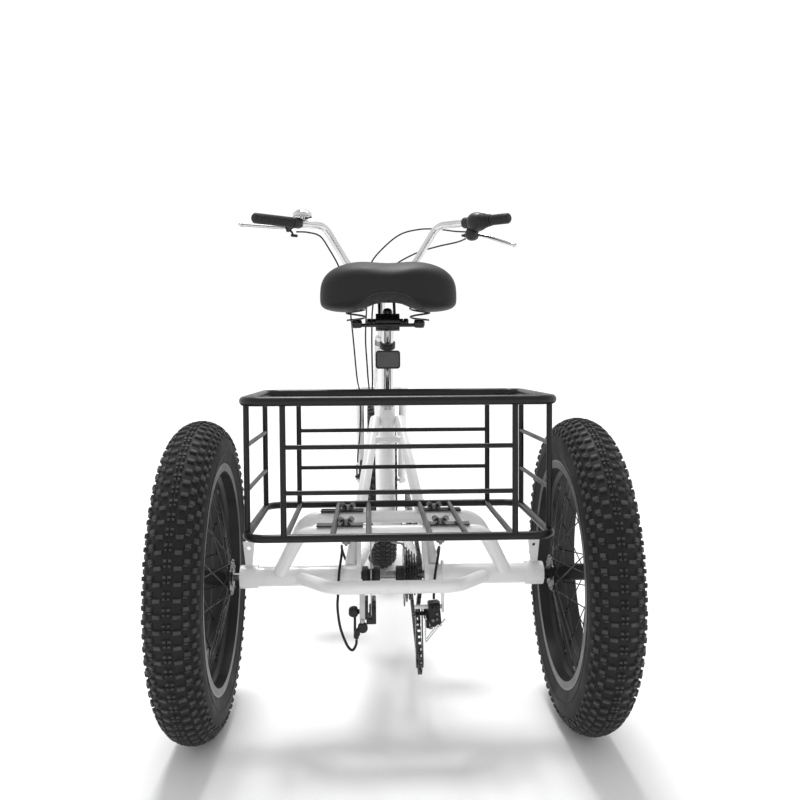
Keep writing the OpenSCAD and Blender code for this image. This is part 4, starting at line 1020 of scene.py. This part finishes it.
FLOOR_HALF = 30
floor_mat = dull(vary(new_material("pale floor", grey(0.9), 0.6), 0.6, grey(0.89), grey(0.91),
                      0.55, 0.65), 0.1)
floor_mesh = bpy.data.meshes.new("floor")
floor_mesh.from_pydata([(-FLOOR_HALF, -FLOOR_HALF, 0), (FLOOR_HALF, -FLOOR_HALF, 0),
                        (FLOOR_HALF, FLOOR_HALF, 0), (-FLOOR_HALF, FLOOR_HALF, 0)], [],
                       [(0, 1, 2, 3)])
floor_mesh.materials.append(floor_mat)
floor = bpy.data.objects.new("floor", floor_mesh)
scene.collection.objects.link(floor)

world = bpy.data.worlds.new("studio")
scene.world = world
world.use_nodes = True
world_nodes, world_links = world.node_tree.nodes, world.node_tree.links


def sky_ramp(axis, stops):
    """Brightness of the studio walls along one axis of the view direction."""
    node = world_nodes.new("ShaderNodeValToRGB")
    (a, low), (b, high) = stops
    node.color_ramp.elements[0].position, node.color_ramp.elements[1].position = a, b
    node.color_ramp.elements[0].color = (low, low, low, 1)
    node.color_ramp.elements[1].color = (high, high, high, 1)
    world_links.new(sky_axes.outputs[axis], node.inputs["Fac"])
    return node


sky_place = world_nodes.new("ShaderNodeTexCoord")
sky_shift = world_nodes.new("ShaderNodeVectorMath")      # from -1..1 to 0..1
sky_shift.operation = "MULTIPLY_ADD"
sky_shift.inputs[1].default_value = (0.5, 0.5, 0.5)
sky_shift.inputs[2].default_value = (0.5, 0.5, 0.5)
sky_axes = world_nodes.new("ShaderNodeSeparateXYZ")
world_links.new(sky_place.outputs["Generated"], sky_shift.inputs[0])
world_links.new(sky_shift.outputs["Vector"], sky_axes.inputs["Vector"])
overhead = sky_ramp("Z", ((0.74, 1.02), (0.95, 0.62)))
behind = sky_ramp("Y", ((0.05, 0.8), (0.55, 1.02)))
sky = world_nodes.new("ShaderNodeMath")
sky.operation = "MULTIPLY"
world_links.new(overhead.outputs["Color"], sky.inputs[0])
world_links.new(behind.outputs["Color"], sky.inputs[1])
world_links.new(sky.outputs["Value"], world_nodes["Background"].inputs["Color"])
world_nodes["Background"].inputs["Strength"].default_value = 1.0


def area_light(name, at, aim, power, width, height):
    data = bpy.data.lights.new(name, "AREA")
    data.energy = power
    data.shape = "RECTANGLE"
    data.size, data.size_y = width, height
    obj = bpy.data.objects.new(name, data)
    scene.collection.objects.link(obj)
    obj.location = at
    obj.rotation_euler = (Vector(aim) - Vector(at)).to_track_quat("-Z", "Y").to_euler()


area_light("ceiling light", (0.2, 1.2, 3.2), (0, -0.3, 0.3), 16, 1.6, 0.8)
sun_data = bpy.data.lights.new("sun", "SUN")
sun_data.energy = 2.0
sun_data.angle = math.radians(16)
sun = bpy.data.objects.new("sun", sun_data)
scene.collection.objects.link(sun)
sun.rotation_euler = Vector((0.12, -0.85, -2.4)).to_track_quat("-Z", "Y").to_euler()

# ---- camera ----

YAW, PITCH_ANGLE, ROLL = 0.0381, -0.047, -0.0057
forward = Vector((math.sin(YAW) * math.cos(PITCH_ANGLE), math.cos(YAW) * math.cos(PITCH_ANGLE),
                  math.sin(PITCH_ANGLE)))
level = Vector((math.cos(YAW), -math.sin(YAW), 0))
upright = level.cross(forward)
camera_right = math.cos(ROLL) * level + math.sin(ROLL) * upright
camera_up = -math.sin(ROLL) * level + math.cos(ROLL) * upright
camera_data = bpy.data.cameras.new("camera")
camera_data.lens = 38.33
camera_data.sensor_width = 36
camera = bpy.data.objects.new("camera", camera_data)
scene.collection.objects.link(camera)
turn = Matrix((camera_right, camera_up, -forward)).transposed().to_4x4()
camera.matrix_world = Matrix.Translation((-0.045, -2.2563, 0.7075)) @ turn
scene.camera = camera
